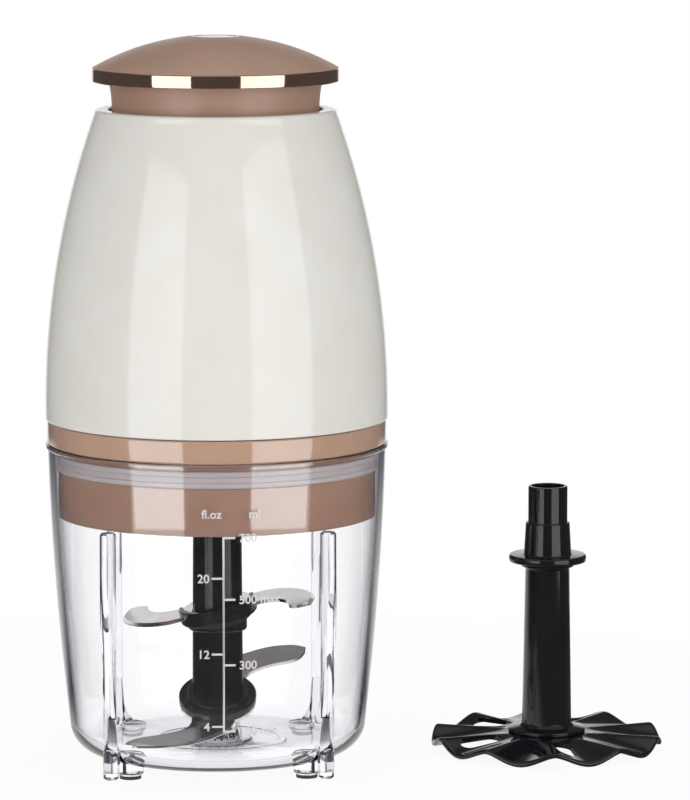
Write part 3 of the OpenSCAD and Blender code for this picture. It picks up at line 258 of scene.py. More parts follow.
@dataclass(frozen=True)
class Finish:
    """Surface with a tint that drifts, a gloss that isn't quite even and a fine relief."""

    name: str
    colour: str
    # Second colour that the tint drifts to; on clear plastic, the painted shade of its edges.
    shade: str
    roughness: float
    relief_mm: float
    relief_depth_mm: float

    tint_mm: ClassVar[float] = 18.0
    gloss_mm: ClassVar[float] = 10.8
    uneven: ClassVar[float] = 0.12
    detail: ClassVar[float] = 2.0

    def sockets(self) -> dict[str | int, object]:
        """Gives the shader's constants."""
        return {}

    def shading(self, tree: Tree, place: Socket) -> Socket:
        """Gives the share of the second colour."""
        return drift(tree, place, self.tint_mm, 0.0, 1.0)

    def gloss(self, tree: Tree, place: Socket) -> Socket:
        """Gives the roughness."""
        swing = self.roughness * self.uneven
        return drift(tree, place, self.gloss_mm, self.roughness - swing, self.roughness + swing)

    def grounds(self, tree: Tree, place: Socket) -> Socket:
        """Gives the coordinates that the relief follows."""
        return place

    def close(self, tree: Tree, shader: bpy.types.Node) -> None:
        """Joins the shader to the material's output."""
        add_node(tree, "ShaderNodeOutputMaterial", links={"Surface": shader.outputs["BSDF"]})

    def make(self) -> bpy.types.Material:
        """Builds the material.

        Returns:
            The material with its node tree.
        """
        material, tree = blank_material(self.name)
        place = add_node(tree, "ShaderNodeTexCoord").outputs["Object"]
        tint = add_node(
            tree,
            "ShaderNodeMix",
            {"data_type": "RGBA", 6: to_linear(self.colour), 7: to_linear(self.shade)},
            {"Factor": self.shading(tree, place)},
        )
        relief = add_node(
            tree,
            "ShaderNodeTexNoise",
            {"Scale": per_mm(self.relief_mm), "Detail": self.detail},
            {"Vector": self.grounds(tree, place)},
        )
        bump = add_node(
            tree,
            "ShaderNodeBump",
            {"Strength": 1.0, "Distance": self.relief_depth_mm * MM},
            {"Height": relief.outputs["Fac"]},
        )
        shader = add_node(
            tree,
            "ShaderNodeBsdfPrincipled",
            self.sockets(),
            {"Base Color": tint.outputs[2], "Roughness": self.gloss(tree, place), "Normal": bump.outputs["Normal"]},
        )
        self.close(tree, shader)
        return material


@dataclass(frozen=True)
class Moulded(Finish):
    """Moulded plastic, rubber or ink: even colour, a skin that copies the tool, faint flow marks."""

    coat: float = 0.0
    coat_ior: float = 1.5
    subsurface: float = 0.0

    coat_roughness: ClassVar[float] = 0.06
    depth_mm: ClassVar[float] = 2.0
    depth_ratio: ClassVar[Point3] = (1.0, 0.9, 0.8)

    def sockets(self) -> dict[str | int, object]:
        """Gives the constants of the top coat and of the light that goes in.

        Returns:
            Values by the names of the shader's inputs.
        """
        return {
            "Coat Weight": self.coat,
            "Coat Roughness": self.coat_roughness,
            "Coat IOR": self.coat_ior,
            "Subsurface Weight": self.subsurface,
            "Subsurface Radius": self.depth_ratio,
            "Subsurface Scale": self.depth_mm * MM,
        }


@dataclass(frozen=True)
class Metal(Finish):
    """Bare or plated metal: coloured mirror, blurred by the lines of how it was worked."""

    grain: Grain = Grain.NONE

    tint_mm: ClassVar[float] = 9.0
    gloss_mm: ClassVar[float] = 5.0
    uneven: ClassVar[float] = 0.25
    detail: ClassVar[float] = 3.0
    drawn_out: ClassVar[Point3] = (0.06, 1.0, 1.0)

    def sockets(self) -> dict[str | int, object]:
        """Makes the shader a metal."""
        return {"Metallic": 1.0}

    def grounds(self, tree: Tree, place: Socket) -> Socket:
        """Gives coordinates in which the relief becomes the working lines.

        Args:
            tree: the material's tree.
            place: object coordinates.

        Returns:
            Socket with the coordinates.
        """
        if self.grain is Grain.ROUND:
            return add_node(tree, "ShaderNodeCombineXYZ", links={"X": axis_distance(tree, place)}).outputs[0]
        if self.grain is Grain.ALONG:
            stretch = {"operation": "MULTIPLY", 1: self.drawn_out}
            return add_node(tree, "ShaderNodeVectorMath", stretch, {0: place}).outputs[0]
        return place


@dataclass(frozen=True)
class Clear(Finish):
    """Clear moulded plastic: bends and mirrors the light, and has painted shade, a grey violet where it is looked
    at edge on, for the dark lines that its edges bend in.
    """

    through: str
    let_in: str
    ior: float
    absorb_per_m: float
    frost_r_mm: float
    frost: float

    gloss_mm: ClassVar[float] = 20.0
    uneven: ClassVar[float] = 0.4
    detail: ClassVar[float] = 1.0
    # Painted shade: how the edges' grey violet comes in, from face on to edge on.
    painted_edge_shade: ClassVar[Fade] = Fade(0.6, 1.0)

    def sockets(self) -> dict[str | int, object]:
        """Makes the shader clear."""
        return {"IOR": self.ior, "Transmission Weight": 1.0}

    def shading(self, tree: Tree, place: Socket) -> Socket:
        """Gives the share of the painted edge shade: none face on, all of it edge on."""
        return self.painted_edge_shade.follow(tree, add_node(tree, "ShaderNodeLayerWeight", {"Blend": 0.5}).outputs["Facing"])

    def gloss(self, tree: Tree, place: Socket) -> Socket:
        """Gives the roughness, dull near the axis.

        Args:
            tree: the material's tree.
            place: object coordinates.

        Returns:
            Socket with the roughness.
        """
        inner = worked(tree, "LESS_THAN", axis_distance(tree, place), self.frost_r_mm * MM)
        return layered(tree, super().gloss(tree, place), (inner, self.frost))

    def close(self, tree: Tree, shader: bpy.types.Node) -> None:
        """Lets lamps shine through and tints long ways through the plastic.

        Args:
            tree: the material's tree.
            shader: the glass-like shader.
        """
        shadow = add_node(tree, "ShaderNodeLightPath").outputs["Is Shadow Ray"]
        open_air = add_node(tree, "ShaderNodeBsdfTransparent", {"Color": to_linear(self.let_in)})
        links = {0: shadow, 1: shader.outputs["BSDF"], 2: open_air.outputs["BSDF"]}
        surface = add_node(tree, "ShaderNodeMixShader", links=links).outputs["Shader"]
        tinted = {"Color": to_linear(self.through), "Density": self.absorb_per_m}
        volume = add_node(tree, "ShaderNodeVolumeAbsorption", tinted).outputs["Volume"]
        add_node(tree, "ShaderNodeOutputMaterial", links={"Surface": surface, "Volume": volume})


# ABS off a polished tool: wide soft reflections with a slow waviness, warm white right through.
SHELL_WHITE = Moulded("gloss_moulded_abs_white", "#E0DED8", "#DCD9D2", 0.1, 6.0, 0.004)
# ABS off a polished tool in a milk-coffee tan, lacquered: clear strips of light on an even colour.
LID_TAN = Moulded("gloss_moulded_abs_tan", "#BC9A84", "#B5937D", 0.12, 5.0, 0.003, 1.0, 1.75)
# The same tan on the plug, a shade deeper: painted shade for the light that the bowl round it takes away. As
# glossy, so the strips of light that it mirrors stay clear.
PLUG_TAN_PAINTED_SHADE = Moulded("gloss_moulded_abs_tan_painted_shade", "#AB8772", "#A37F6A", 0.12, 5.0, 0.003, 1.0, 2.0)
# ABS off a spark-eroded tool: grain of about 0.1 mm, drawn at 0.35 mm to show, which softens all reflections.
CAP_TAN = Moulded("satin_moulded_abs_tan", "#AE8E7B", "#A68673", 0.38, 0.35, 0.006)
# Glass-filled polypropylene in black, off a polished tool: deep black with long soft highlights.
HUB_BLACK = Moulded("gloss_moulded_polypropylene_black", "#141317", "#18171B", 0.07, 3.0, 0.003)
# Styrene-acrylonitrile, moulded clear: water-clear face on, painted shade of grey violet along its edges, dull on
# the spindle.
BOWL_CLEAR = Clear(
    "clear_moulded_styrene_acrylonitrile",
    "#FFFFFF",
    # Painted shade of the edges: grey violet where the bowl is seen edge on.
    "#4A4370",
    0.008,
    9.0,
    0.004,
    through="#8E88BC",
    let_in="#F2F2F6",
    ior=1.5,
    absorb_per_m=18.0,
    frost_r_mm=7.0,
    frost=0.3,
)
# Copper-toned vacuum plating over a polished moulding: a warm mirror.
RING_COPPER = Metal("copper_vacuum_plated_abs", "#EAC5B2", "#E2B9A4", 0.05, 0.8, 0.0004, Grain.ROUND)
# Spun aluminium: pale and slightly blurred, with fine lines round the axis drawn at 0.35 mm.
DISC_SILVER = Metal("spun_aluminium_disc", "#F5F5F3", "#EEEEEC", 0.2, 0.35, 0.001, Grain.ROUND)
# Stainless strip, stamped and belt polished: bright, with fine lines along the strip drawn at 0.5 mm.
BLADE_STEEL = Metal("belt_polished_stainless_steel", "#F2F2F0", "#E6E6E4", 0.16, 0.5, 0.0012, Grain.ALONG)
# Liquid silicone: milky, soft gloss, lets a little light in.
SEAL_SILICONE = Moulded("moulded_liquid_silicone", "#BDB4B1", "#B3AAA8", 0.32, 2.0, 0.004, subsurface=0.3)
# Thermoplastic rubber off a matt tool: dark, with hardly a reflection.
PAD_RUBBER = Moulded("moulded_thermoplastic_rubber", "#2B282C", "#343036", 0.55, 0.5, 0.01)
# Screen-printed two-part ink: opaque white with a slightly dry face.
PRINT_WHITE = Moulded("screen_printed_white_ink", "#D4D4D4", "#CECECE", 0.4, 0.4, 0.002)
# ABS in dark grey off an eroded tool: dull and even.
CHASSIS_GREY = Moulded("eroded_moulded_abs_grey", "#55565A", "#4D4E52", 0.42, 0.4, 0.008)
# Acetal, moulded: waxy off-white with a soft gloss.
GEAR_ACETAL = Moulded("moulded_acetal", "#E6E1D3", "#DDD7C7", 0.3, 1.5, 0.004, subsurface=0.15)
# Nylon, moulded in a signal red: soft gloss.
SWITCH_RED = Moulded("moulded_nylon_red", "#B8352B", "#A82E25", 0.3, 1.2, 0.004)
# Zinc-plated steel sheet and screws: cool grey with a faint cloud.
MOTOR_STEEL = Metal("zinc_plated_steel", "#BFC1C3", "#A9ABAE", 0.27, 0.8, 0.002)
# Turned and ground steel: bright, with lines round the axis.
SHAFT_STEEL = Metal("ground_bearing_steel", "#CFCFCD", "#BDBDBB", 0.18, 0.3, 0.001, Grain.ROUND)
# Sintered bronze: warm, grainy and dull with oil.
BUSH_BRONZE = Metal("sintered_bronze", "#B58A55", "#9B7346", 0.4, 0.35, 0.01)
# Enamelled copper wire: deep orange gloss, wire lines of 0.5 mm round the axis.
WIRE_COPPER = Metal("enamelled_copper_wire", "#B4602F", "#9C4F25", 0.24, 0.5, 0.06, Grain.ROUND)
# Hard ferrite, pressed and sintered: dull charcoal.
MAGNET_GREY = Moulded("sintered_ferrite", "#3A3A3D", "#313134", 0.6, 0.6, 0.012)
# Pressed carbon: nearly black with a graphite sheen.
BRUSH_CARBON = Moulded("pressed_carbon", "#232325", "#2B2B2D", 0.45, 0.5, 0.008)
# Glass-epoxy board under green resist: a smooth deep green.
BOARD_GREEN = Moulded("solder_masked_epoxy_laminate", "#2E6B45", "#27603D", 0.28, 0.7, 0.006)

# Finishes of the solids inside the motor unit, which are carried over as they are.
INSIDE: dict[Finish, tuple[str, ...]] = {
    CHASSIS_GREY: ("motor_base", "gear_cover", "motor_end_cap", "switch_plate"),
    MOTOR_STEEL: (
        *("base_screws", "cover_screws", "motor_screws", "board_screws", "plate_screws", "return_springs"),
        *("motor_can", "motor_shaft", "armature_core", "sun_gear", "planet_pins", "output_shaft"),
    ),
    GEAR_ACETAL: ("ring_gear", "planet_carrier", "planet_gear_1", "planet_gear_2", "planet_gear_3"),
    BUSH_BRONZE: ("output_bush", "lower_bearing", "upper_bearing"),
    PAD_RUBBER: ("motor_damper",),
    MAGNET_GREY: ("magnets",),
    BRUSH_CARBON: ("brushes",),
    BOARD_GREEN: ("circuit_board",),
    HUB_BLACK: ("capacitor", "rectifier", "switch_body", "cooling_fan"),
    WIRE_COPPER: ("windings", "commutator"),
    SWITCH_RED: ("switch_button",),
}


class Palette:
    """Makes each finish once and puts it on pieces and solids."""

    def __init__(self, solids: dict[str, Piece]) -> None:
        """Starts with no material made.

        Args:
            solids: the solids of the frame by name.
        """
        self._solids = solids
        self._made: dict[str, bpy.types.Material] = {}

    def material(self, finish: Finish) -> bpy.types.Material:
        """Gives the material of a finish, made on first use.

        Args:
            finish: one of the finishes above.

        Returns:
            Its Blender material.
        """
        if finish.name not in self._made:
            self._made[finish.name] = finish.make()
        return self._made[finish.name]

    def dress(self, finish: Finish, *names: str) -> None:
        """Gives solids that are carried over a finish through their own slots.

        Args:
            finish: their finish.
            names: names of the solids.
        """
        for name in names:
            for slot in self._solids[name].material_slots:
                slot.link = "OBJECT"
                slot.material = self.material(finish)

    def keep(self, piece: Piece, finishes: Sequence[Finish], body: str, slot: str, *nodes: str) -> None:
        """Finishes a new piece, fixes it to a body and says which solids it stands for.

        Args:
            piece: the piece.
            finishes: its finishes, in the order of its faces' material numbers.
            body: body it moves with.
            slot: material slot of the record, not used.
            nodes: solids that it replaces.
        """
        for finish in finishes:
            piece.data.materials.append(self.material(finish))
        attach(piece, body)
        if nodes:
            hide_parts(*nodes)
        LOG.info("piece %s on %s for %s", piece.name, body, ", ".join(nodes) or "detail")


def rounded(*corners: Corner, closed: bool = True, steps: int = 5) -> list[Point]:
    """Rounds the corners of an outline.

    Args:
        corners: radius, height and edge radius of each corner.
        closed: whether the last corner joins the first.
        steps: straight pieces in one round edge.

    Returns:
        The outline's points.
    """
    out: list[Point] = []
    for i, (x, y, edge) in enumerate(corners):
        if edge <= 0 or (not closed and i in (0, len(corners) - 1)):
            out.append((x, y))
            continue
        here = Vector((x, y))
        back = Vector(corners[i - 1][:2]) - here
        ahead = Vector(corners[(i + 1) % len(corners)][:2]) - here
        half = back.angle(ahead) / 2
        reach = min(edge / math.tan(half), SIDE_SHARE * min(back.length, ahead.length))
        start = here + back.normalized() * reach
        centre = here + (back.normalized() + ahead.normalized()).normalized() * (reach / math.cos(half))
        first = start - centre
        turn = (here + ahead.normalized() * reach - centre).angle_signed(first)
        for k in range(steps + 1):
            angle = turn * k / steps
            cos, sin = math.cos(angle), math.sin(angle)
            out.append((centre.x + first.x * cos - first.y * sin, centre.y + first.x * sin + first.y * cos))
    return out


def spaced(first: float, last: float, steps: int) -> list[float]:
    """Gives evenly spaced values, with both ends."""
    return [first + (last - first) * i / steps for i in range(steps + 1)]


def new_object(name: str, points: Sequence[Point3], faces: Sequence[Sequence[int]]) -> Piece:
    """Makes a mesh object from points in millimetres.

    Args:
        name: name of the piece.
        points: vertices.
        faces: vertex numbers of each face.

    Returns:
        The object, linked to the scene.
    """
    mesh = bpy.data.meshes.new(name)
    mesh.from_pydata([(x * MM, y * MM, z * MM) for x, y, z in points], [], faces)
    mesh.update()
    obj = bpy.data.objects.new(name, mesh)
    bpy.context.scene.collection.objects.link(obj)
    return obj


def lathe(name: str, outline: Sequence[Point], sides: int = SIDES) -> Piece:
    """Turns a closed outline round the Z axis.

    Args:
        name: name of the piece.
        outline: radius and height of each point, anticlockwise in the half plane; points at radius 0 become poles.
        sides: steps round the axis.

    Returns:
        A closed mesh object.
    """
    points: list[Point3] = []
    rings: list[list[int]] = []
    for r, z in outline:
        count = 1 if r < POLE_R else sides
        rings.append([len(points) + (k if count > 1 else 0) for k in range(sides)])
        for k in range(count):
            a = 2 * math.pi * k / sides
            points.append((r * math.cos(a), r * math.sin(a), z))
    faces: list[list[int]] = []
    for i, low in enumerate(rings):
        high = rings[(i + 1) % len(rings)]
        for k in range(sides):
            n = (k + 1) % sides
            face = list(dict.fromkeys((low[k], low[n], high[n], high[k])))
            if len(face) > 2:
                faces.append(face)
    return new_object(name, points, faces)


def prism(name: str, outline: Sequence[Point], z0: float, z1: float, edge: float = 0.0) -> Piece:
    """Raises an outline to a solid with chamfered ends.

    Args:
        name: name of the piece.
        outline: plan points, anticlockwise and without deep hollows where an edge is asked for.
        z0: lower end.
        z1: upper end.
        edge: chamfer of both ends.

    Returns:
        A closed mesh object.
    """
    count = len(outline)
    middle = Vector((sum(p[0] for p in outline) / count, sum(p[1] for p in outline) / count))
    reach = max((Vector(p) - middle).length for p in outline)
    shrink = 1 - edge / reach
    small = [tuple(middle + (Vector(p) - middle) * shrink) for p in outline]
    levels = [(outline, z0), (outline, z1)]
    if edge > 0:
        levels = [(small, z0), (outline, z0 + edge), (outline, z1 - edge), (small, z1)]
    points = [(x, y, z) for plan, z in levels for x, y in plan]
    faces: list[list[int]] = [list(range(count))[::-1]]
    for i in range(len(levels) - 1):
        for k in range(count):
            n = (k + 1) % count
            faces.append([i * count + k, i * count + n, (i + 1) * count + n, (i + 1) * count + k])
    faces.append([(len(levels) - 1) * count + k for k in range(count)])
    return new_object(name, points, faces)


def circle(radius: float, sides: int = 48, x: float = 0.0, y: float = 0.0, start: float = 0.0) -> list[Point]:
    """Gives the points of a circle, anticlockwise from the angle start in degrees."""
    angles = [math.radians(start) + 2 * math.pi * k / sides for k in range(sides)]
    return [(x + radius * math.cos(a), y + radius * math.sin(a)) for a in angles]


def smooth_curve(marks: Sequence[Point], steps: int) -> list[Point]:
    """Draws a smooth open curve through some points.

    Args:
        marks: points on the curve.
        steps: pieces between two of them.

    Returns:
        The curve's points, with both ends.
    """
    out: list[Point] = []
    for i in range(len(marks) - 1):
        a, b, c, d = (Vector(marks[min(max(i + k, 0), len(marks) - 1)]) for k in (-1, 0, 1, 2))
        for k in range(steps):
            t = k / steps
            p = 2 * b + (c - a) * t + (2 * a - 5 * b + 4 * c - d) * t**2 + (3 * b - a - 3 * c + d) * t**3
            out.append((p.x / 2, p.y / 2))
    return out + [tuple(marks[-1])]


def move(obj: Piece, change: Callable[[Vector], Vector] | Matrix) -> Piece:
    """Moves the points of a mesh, by a matrix or a function in millimetres.

    Args:
        obj: the piece.
        change: where each point goes.

    Returns:
        The same piece.
    """
    for vertex in obj.data.vertices:
        place = vertex.co / MM
        vertex.co = (change @ place if isinstance(change, Matrix) else change(place)) * MM
    obj.data.update()
    return obj


def tilted(z: float, about_x: float, about_y: float) -> Matrix:
    """Gives the place of a plane that is tilted about X, then Y, at a height on the axis."""
    turn = Matrix.Rotation(math.radians(about_y), 4, "Y") @ Matrix.Rotation(math.radians(about_x), 4, "X")
    return Matrix.Translation((0, 0, z)) @ turn


def spun(degrees: float) -> Matrix:
    """Gives a turn about the Z axis."""
    return Matrix.Rotation(math.radians(degrees), 4, "Z")


def taken_apart(obj: Piece) -> bpy.types.Mesh:
    """Gives the mesh of an object with its modifiers worked out."""
    return bpy.data.meshes.new_from_object(obj.evaluated_get(bpy.context.evaluated_depsgraph_get()))


def combine(target: Piece, tool: Piece, how: Join) -> Piece:
    """Joins a tool to a target, or cuts it out, and removes the tool.

    Args:
        target: the piece that stays.
        tool: the piece that is used up.
        how: union or cut.

    Returns:
        The target.
    """
    work = target.modifiers.new("work", "BOOLEAN")
    work.object = tool
    work.operation = how.value
    work.solver = "EXACT"
    mesh = taken_apart(target)
    target.modifiers.clear()
    old = target.data
    target.data = mesh
    bpy.data.meshes.remove(old)
    bpy.data.meshes.remove(tool.data)
    return target


def merged(name: str, parts: Sequence[Piece]) -> Piece:
    """Puts meshes that don't touch into one object.

    Args:
        name: name of the new piece.
        parts: the pieces, which are used up.

    Returns:
        The new piece.
    """
    points: list[Point3] = []
    faces: list[list[int]] = []
    for part in parts:
        base = len(points)
        points += [tuple(v.co / MM) for v in part.data.vertices]
        faces += [[base + i for i in p.vertices] for p in part.data.polygons]
        bpy.data.meshes.remove(part.data)
    return new_object(name, points, faces)


def settle(obj: Piece, crease: float = 32.0) -> Piece:
    """Shades a piece smooth between its sharp edges.

    Args:
        obj: the piece.
        crease: turn in degrees from which an edge stays sharp.

    Returns:
        The same piece.
    """
    obj.data.shade_smooth()
    obj.data.set_sharp_from_angle(angle=math.radians(crease))
    return obj


@dataclass
class Bowl:
    """Clear bowl with four columns, four feet, a splined spindle and a printed measuring scale."""

    height: float = 112.2
    rim_r: float = 58.5
    draft: float = 2.9
    belly: float = 5.4
    wall: float = 2.2
    base_z: float = 4.5
    floor_z: float = 7.5
    corner_r: float = 10.0
    lip_r: float = 59.2
    lip_h: float = 1.4
    floor_r: float = 24.6
    boss_r: float = 11.4
    boss_z: float = 8.3
    boss_rise: float = 0.3
    flare: float = 0.6
    spindle_r: float = 6.7
    spindle_z: float = 16.5
    pin_r: float = 3.03
    pin_z: float = 9.47
    rib_in_r: float = 49.4
    rib_out_r: float = 54.6
    rib_w: float = 5.2
    rib_edge: float = 0.6
    rib_z: float = 0.9
    rib_top_z: float = 86.3
    foot_circle_r: float = 42.7
    foot_r: float = 4.5
    foot_z: float = 1.2
    foot_edge: float = 0.7
    gusset_w: float = 5.4
    gusset_z: float = 2.6
    gusset_drop: float = 0.4
    slit: float = 0.1
    slit_top_z: float = 22.0
    fins: int = 22
    fin_w: float = 0.6
    fin_r: float = 8.6
    fin_sink: float = 0.3
    fin_drop: float = 0.6
    fin_root: float = 0.8
    fin_head: float = 0.5
    mouth_drop: float = 0.7
    mouth_lean: float = 0.02
    column_round: float = 0.98

    corner_steps: ClassVar[int] = 10
    wall_steps: ClassVar[int] = 28
    diagonals: ClassVar[tuple[float, ...]] = (45.0, 135.0, 225.0, 315.0)
    # Radius and rise of the raised ring in the floor, from outside in.
    floor_ring: ClassVar[tuple[Point, ...]] = ((24.0, 0.0), (23.4, 0.12), (21.8, 0.12), (21.2, 0.0))
    floor_edge: ClassVar[float] = 0.4

    def radius(self, z: float) -> float:
        """Gives the wall's outer radius at a height."""
        drop = (self.height - z) / (self.height - self.base_z)
        return self.rim_r - self.draft * drop - self.belly * drop**2

    def _wall(self, inset: float, base: float, corner: float, top: float) -> list[Point]:
        """Draws one side of the wall from the floor's edge up.

        Args:
            inset: distance in from the outer side.
            base: height of the floor on this side.
            corner: corner radius between floor and wall.
            top: upper end.

        Returns:
            Points from the floor to the top.
        """
        start = base + corner
        foot = self.radius(start) - inset
        bend = [math.pi / 2 * (1 - i / self.corner_steps) for i in range(self.corner_steps + 1)]
        out = [(foot - corner + corner * math.cos(a), start - corner * math.sin(a)) for a in bend]
        return out + [(self.radius(z) - inset, z) for z in spaced(start, top, self.wall_steps)[1:]]

    def _inside(self) -> list[Point]:
        """Draws the inner side from the floor's edge up to the lip."""
        return self._wall(self.wall, self.floor_z, self.corner_r - self.wall, self.height - self.mouth_drop)

    def _body(self) -> Piece:
        """Builds the turned part: wall, ringed floor and spindle.

        Returns:
            The solid.
        """
        outer = self._wall(0.0, self.base_z, self.corner_r, self.height - self.lip_h)
        edge = rounded(
            (outer[-1][0], outer[-1][1], 0.0),
            (self.rim_r, self.height, 0.4),
            (self.rim_r - self.wall, self.height, 0.6),
            (self.rim_r - self.wall - self.mouth_lean, self.height - self.mouth_drop, 0.0),
            closed=False,
        )
        floor = self.floor_z
        middle = rounded(
            (self.floor_r, floor, 0.0),
            *((r, floor + rise, self.floor_edge) for r, rise in self.floor_ring),
            (self.boss_r + self.flare, floor, self.floor_edge),
            (self.boss_r, self.boss_z, self.floor_edge),
            (self.spindle_r + self.flare, self.boss_z + self.boss_rise, 0.8),
            (self.spindle_r, self.spindle_z, 0.4),
            (self.pin_r, self.spindle_z, 0.2),
            (self.pin_r, self.pin_z, 0.0),
            (0.0, self.pin_z, 0.0),
            closed=False,
        )
        outline = [(0.0, self.base_z), *outer, *edge[1:-1], *reversed(self._inside()), *middle]
        return lathe("bowl_clear", outline)

    def _lip(self) -> Piece:
        """Builds the bead round the bowl's upper edge, a hair clear of the wall so that no light is trapped.

        Returns:
            The solid.
        """
        back, low = self.rim_r + self.slit / 2, self.height - self.lip_h
        front = [(self.lip_r, low, 0.3), (self.lip_r, self.height, 0.3)]
        return lathe("lip", rounded((back, low, 0.1), *front, (back, self.height, 0.1)))

    def _cavity(self) -> Piece:
        """Builds the space inside the bowl, for trimming the feet."""
        inside = self._inside()
        return lathe("cavity", [(0.0, self.floor_z), *inside, (0.0, inside[-1][1])], SMALL_SIDES)

    def _foot(self, turn: float) -> Piece:
        """Builds one foot boss with its gusset.

        Args:
            turn: angle of the diagonal in degrees.

        Returns:
            The solid.
        """
        half = self.gusset_w / 2
        top = self.floor_z + self.corner_r / 2
        boss = prism("foot", circle(self.foot_r, 40, self.foot_circle_r), self.foot_z, top, self.foot_edge)
        far = self.rib_out_r - self.rib_w / 2
        plan = [(self.foot_circle_r, -half), (far, -half), (far, half), (self.foot_circle_r, half)]
        combine(boss, prism("gusset", plan, self.gusset_z, top - self.gusset_drop), Join.UNION)
        room = circle(self.rib_w / 2 + self.slit, 48, (self.rib_in_r + self.rib_out_r) / 2)
        combine(boss, prism("room", room, 0.0, top + OVER), Join.CUT)
        return move(boss, spun(turn))

    def _column(self, turn: float) -> Piece:
        """Builds one column rib, cut clear of the bowl's corner.

        Args:
            turn: angle of the diagonal in degrees.

        Returns:
            The solid.
        """
        half = self.rib_w / 2
        corners = ((self.rib_in_r, -half), (self.rib_out_r, -half), (self.rib_out_r, half), (self.rib_in_r, half))
        plan = rounded(*((x, y, half * self.column_round) for x, y in corners), steps=8)
        column = prism("column", plan, self.rib_z, self.rib_top_z, self.rib_edge)
        under = self._wall(-self.slit, self.base_z - self.slit, self.corner_r + self.slit, self.slit_top_z)
        room = lathe("room", [(0.0, under[0][1]), *under, (0.0, self.slit_top_z)])
        combine(column, room, Join.CUT)
        return move(column, spun(turn))

    def _spline(self) -> Piece:
        """Builds the upright fins round the spindle.

        Returns:
            The fins as one mesh.
        """
        low, high = self.boss_z - self.fin_sink, self.spindle_z - self.fin_drop
        root, head = self.spindle_r - self.fin_root, self.spindle_r + self.fin_head
        plan = [(root, low), (self.fin_r, low), (head, high), (root, high)]
        parts = []
        for i in range(self.fins):
            fin = prism("fin", plan, -self.fin_w / 2, self.fin_w / 2)
            move(fin, UPRIGHT)
            parts.append(move(fin, spun(360 * i / self.fins)))
        return merged("fins", parts)

    def build(self) -> Piece:
        """Builds the whole clear moulding.

        Returns:
            The piece.
        """
        body = self._body()
        feet = merged("feet", [self._foot(a) for a in self.diagonals])
        combine(feet, self._cavity(), Join.CUT)
        combine(body, feet, Join.UNION)
        combine(body, merged("columns", [self._column(a) for a in self.diagonals]), Join.UNION)
        combine(body, self._spline(), Join.UNION)
        return settle(merged("bowl_clear", [body, self._lip()]), crease=28)

    def dress(self, palette: Palette) -> None:
        """Builds the bowl and its print, and finishes the pads and the pin."""
        palette.keep(self.build(), [BOWL_CLEAR], "bowl", "clear_plastic", "bowl")
        palette.keep(Scale(self).build(), [PRINT_WHITE], "bowl", "white_plastic")
        palette.dress(PAD_RUBBER, "foot_pads")
        palette.dress(SHAFT_STEEL, "spindle_pin")


@dataclass
class Scale:
    """White measuring marks printed on the front of the bowl."""

    bowl: Bowl
    line_x: float = 1.65
    stroke: float = 0.7
    tick: float = 4.0
    letter: float = 4.1
    lift: float = 0.06
    thick: float = 0.05
    spread: float = 0.07
    right_gap: float = 1.2
    left_gap: float = 0.7
    drop: float = 0.36

    right_marks: ClassVar[tuple[tuple[str, float], ...]] = (
        ("700", 87.6),
        ("500 max", 66.4),
        ("300", 43.7),
        ("100 min", 20.5),
    )
    left_marks: ClassVar[tuple[tuple[str, float], ...]] = (("20", 73.7), ("12", 47.5), ("4", 22.2))
    heads: ClassVar[tuple[tuple[str, float, float], ...]] = (("fl.oz", -5.7, 94.3), ("ml", 10.2, 94.3))

    def _bar(self, x0: float, x1: float, z0: float, z1: float) -> Piece:
        """Draws a straight stroke as a flat solid, in short pieces so that it can follow the wall.

        Args:
            x0: left end.
            x1: right end.
            z0: lower end.
            z1: upper end.

        Returns:
            The solid, with its plan in X and Y.
        """
        count = max(1, round((z1 - z0) / 2))
        left = [(x0, z) for z in spaced(z1, z0, count)]
        right = [(x1, z) for z in spaced(z0, z1, count)]
        return prism("stroke", left + right, 0.0, self.thick)

    def _word(self, text: str, x: float, z: float, align: str) -> Piece:
        """Draws plain lettering as a flat solid.

        Args:
            text: a number or a unit.
            x: where it starts or ends.
            z: height of its foot line.
            align: LEFT or RIGHT.

        Returns:
            The solid, with its plan in X and Y.
        """
        curve = bpy.data.curves.new("lettering", "FONT")
        curve.body = text
        curve.size = self.letter * MM
        curve.align_x = align
        curve.extrude = self.thick / 2 * MM
        curve.offset = self.spread * MM
        curve.resolution_u = 4
        holder = bpy.data.objects.new("lettering", curve)
        bpy.context.scene.collection.objects.link(holder)
        bpy.context.view_layer.update()
        mesh = taken_apart(holder)
        bpy.data.objects.remove(holder)
        bpy.data.curves.remove(curve)
        word = bpy.data.objects.new("lettering", mesh)
        bpy.context.scene.collection.objects.link(word)
        return move(word, Matrix.Translation((x, z, self.thick / 2)))

    def _wrap(self, p: Vector) -> Vector:
        """Lays a flat point on the bowl's front."""
        r = self.bowl.radius(p.y) + self.lift + p.z
        return Vector((r * math.sin(p.x / r), -r * math.cos(p.x / r), p.y))

    def build(self) -> Piece:
        """Builds all marks as one piece.

        Returns:
            The piece.
        """
        half = self.stroke / 2
        top, low = self.right_marks[0][1], self.right_marks[-1][1]
        parts = [self._bar(self.line_x - half, self.line_x + half, low - half, top + half)]
        drop = self.letter * self.drop
        for text, z in self.right_marks:
            parts.append(self._bar(self.line_x + half, self.line_x + self.tick, z - half, z + half))
            parts.append(self._word(text, self.line_x + self.tick + self.right_gap, z - drop, "LEFT"))
        for text, z in self.left_marks:
            parts.append(self._bar(self.line_x - self.tick, self.line_x - half, z - half, z + half))
            parts.append(self._word(text, self.line_x - self.tick - self.left_gap, z - drop, "RIGHT"))
        for text, x, z in self.heads:
            parts.append(self._word(text, x, z, "LEFT"))
        return move(merged("scale_print", parts), self._wrap)


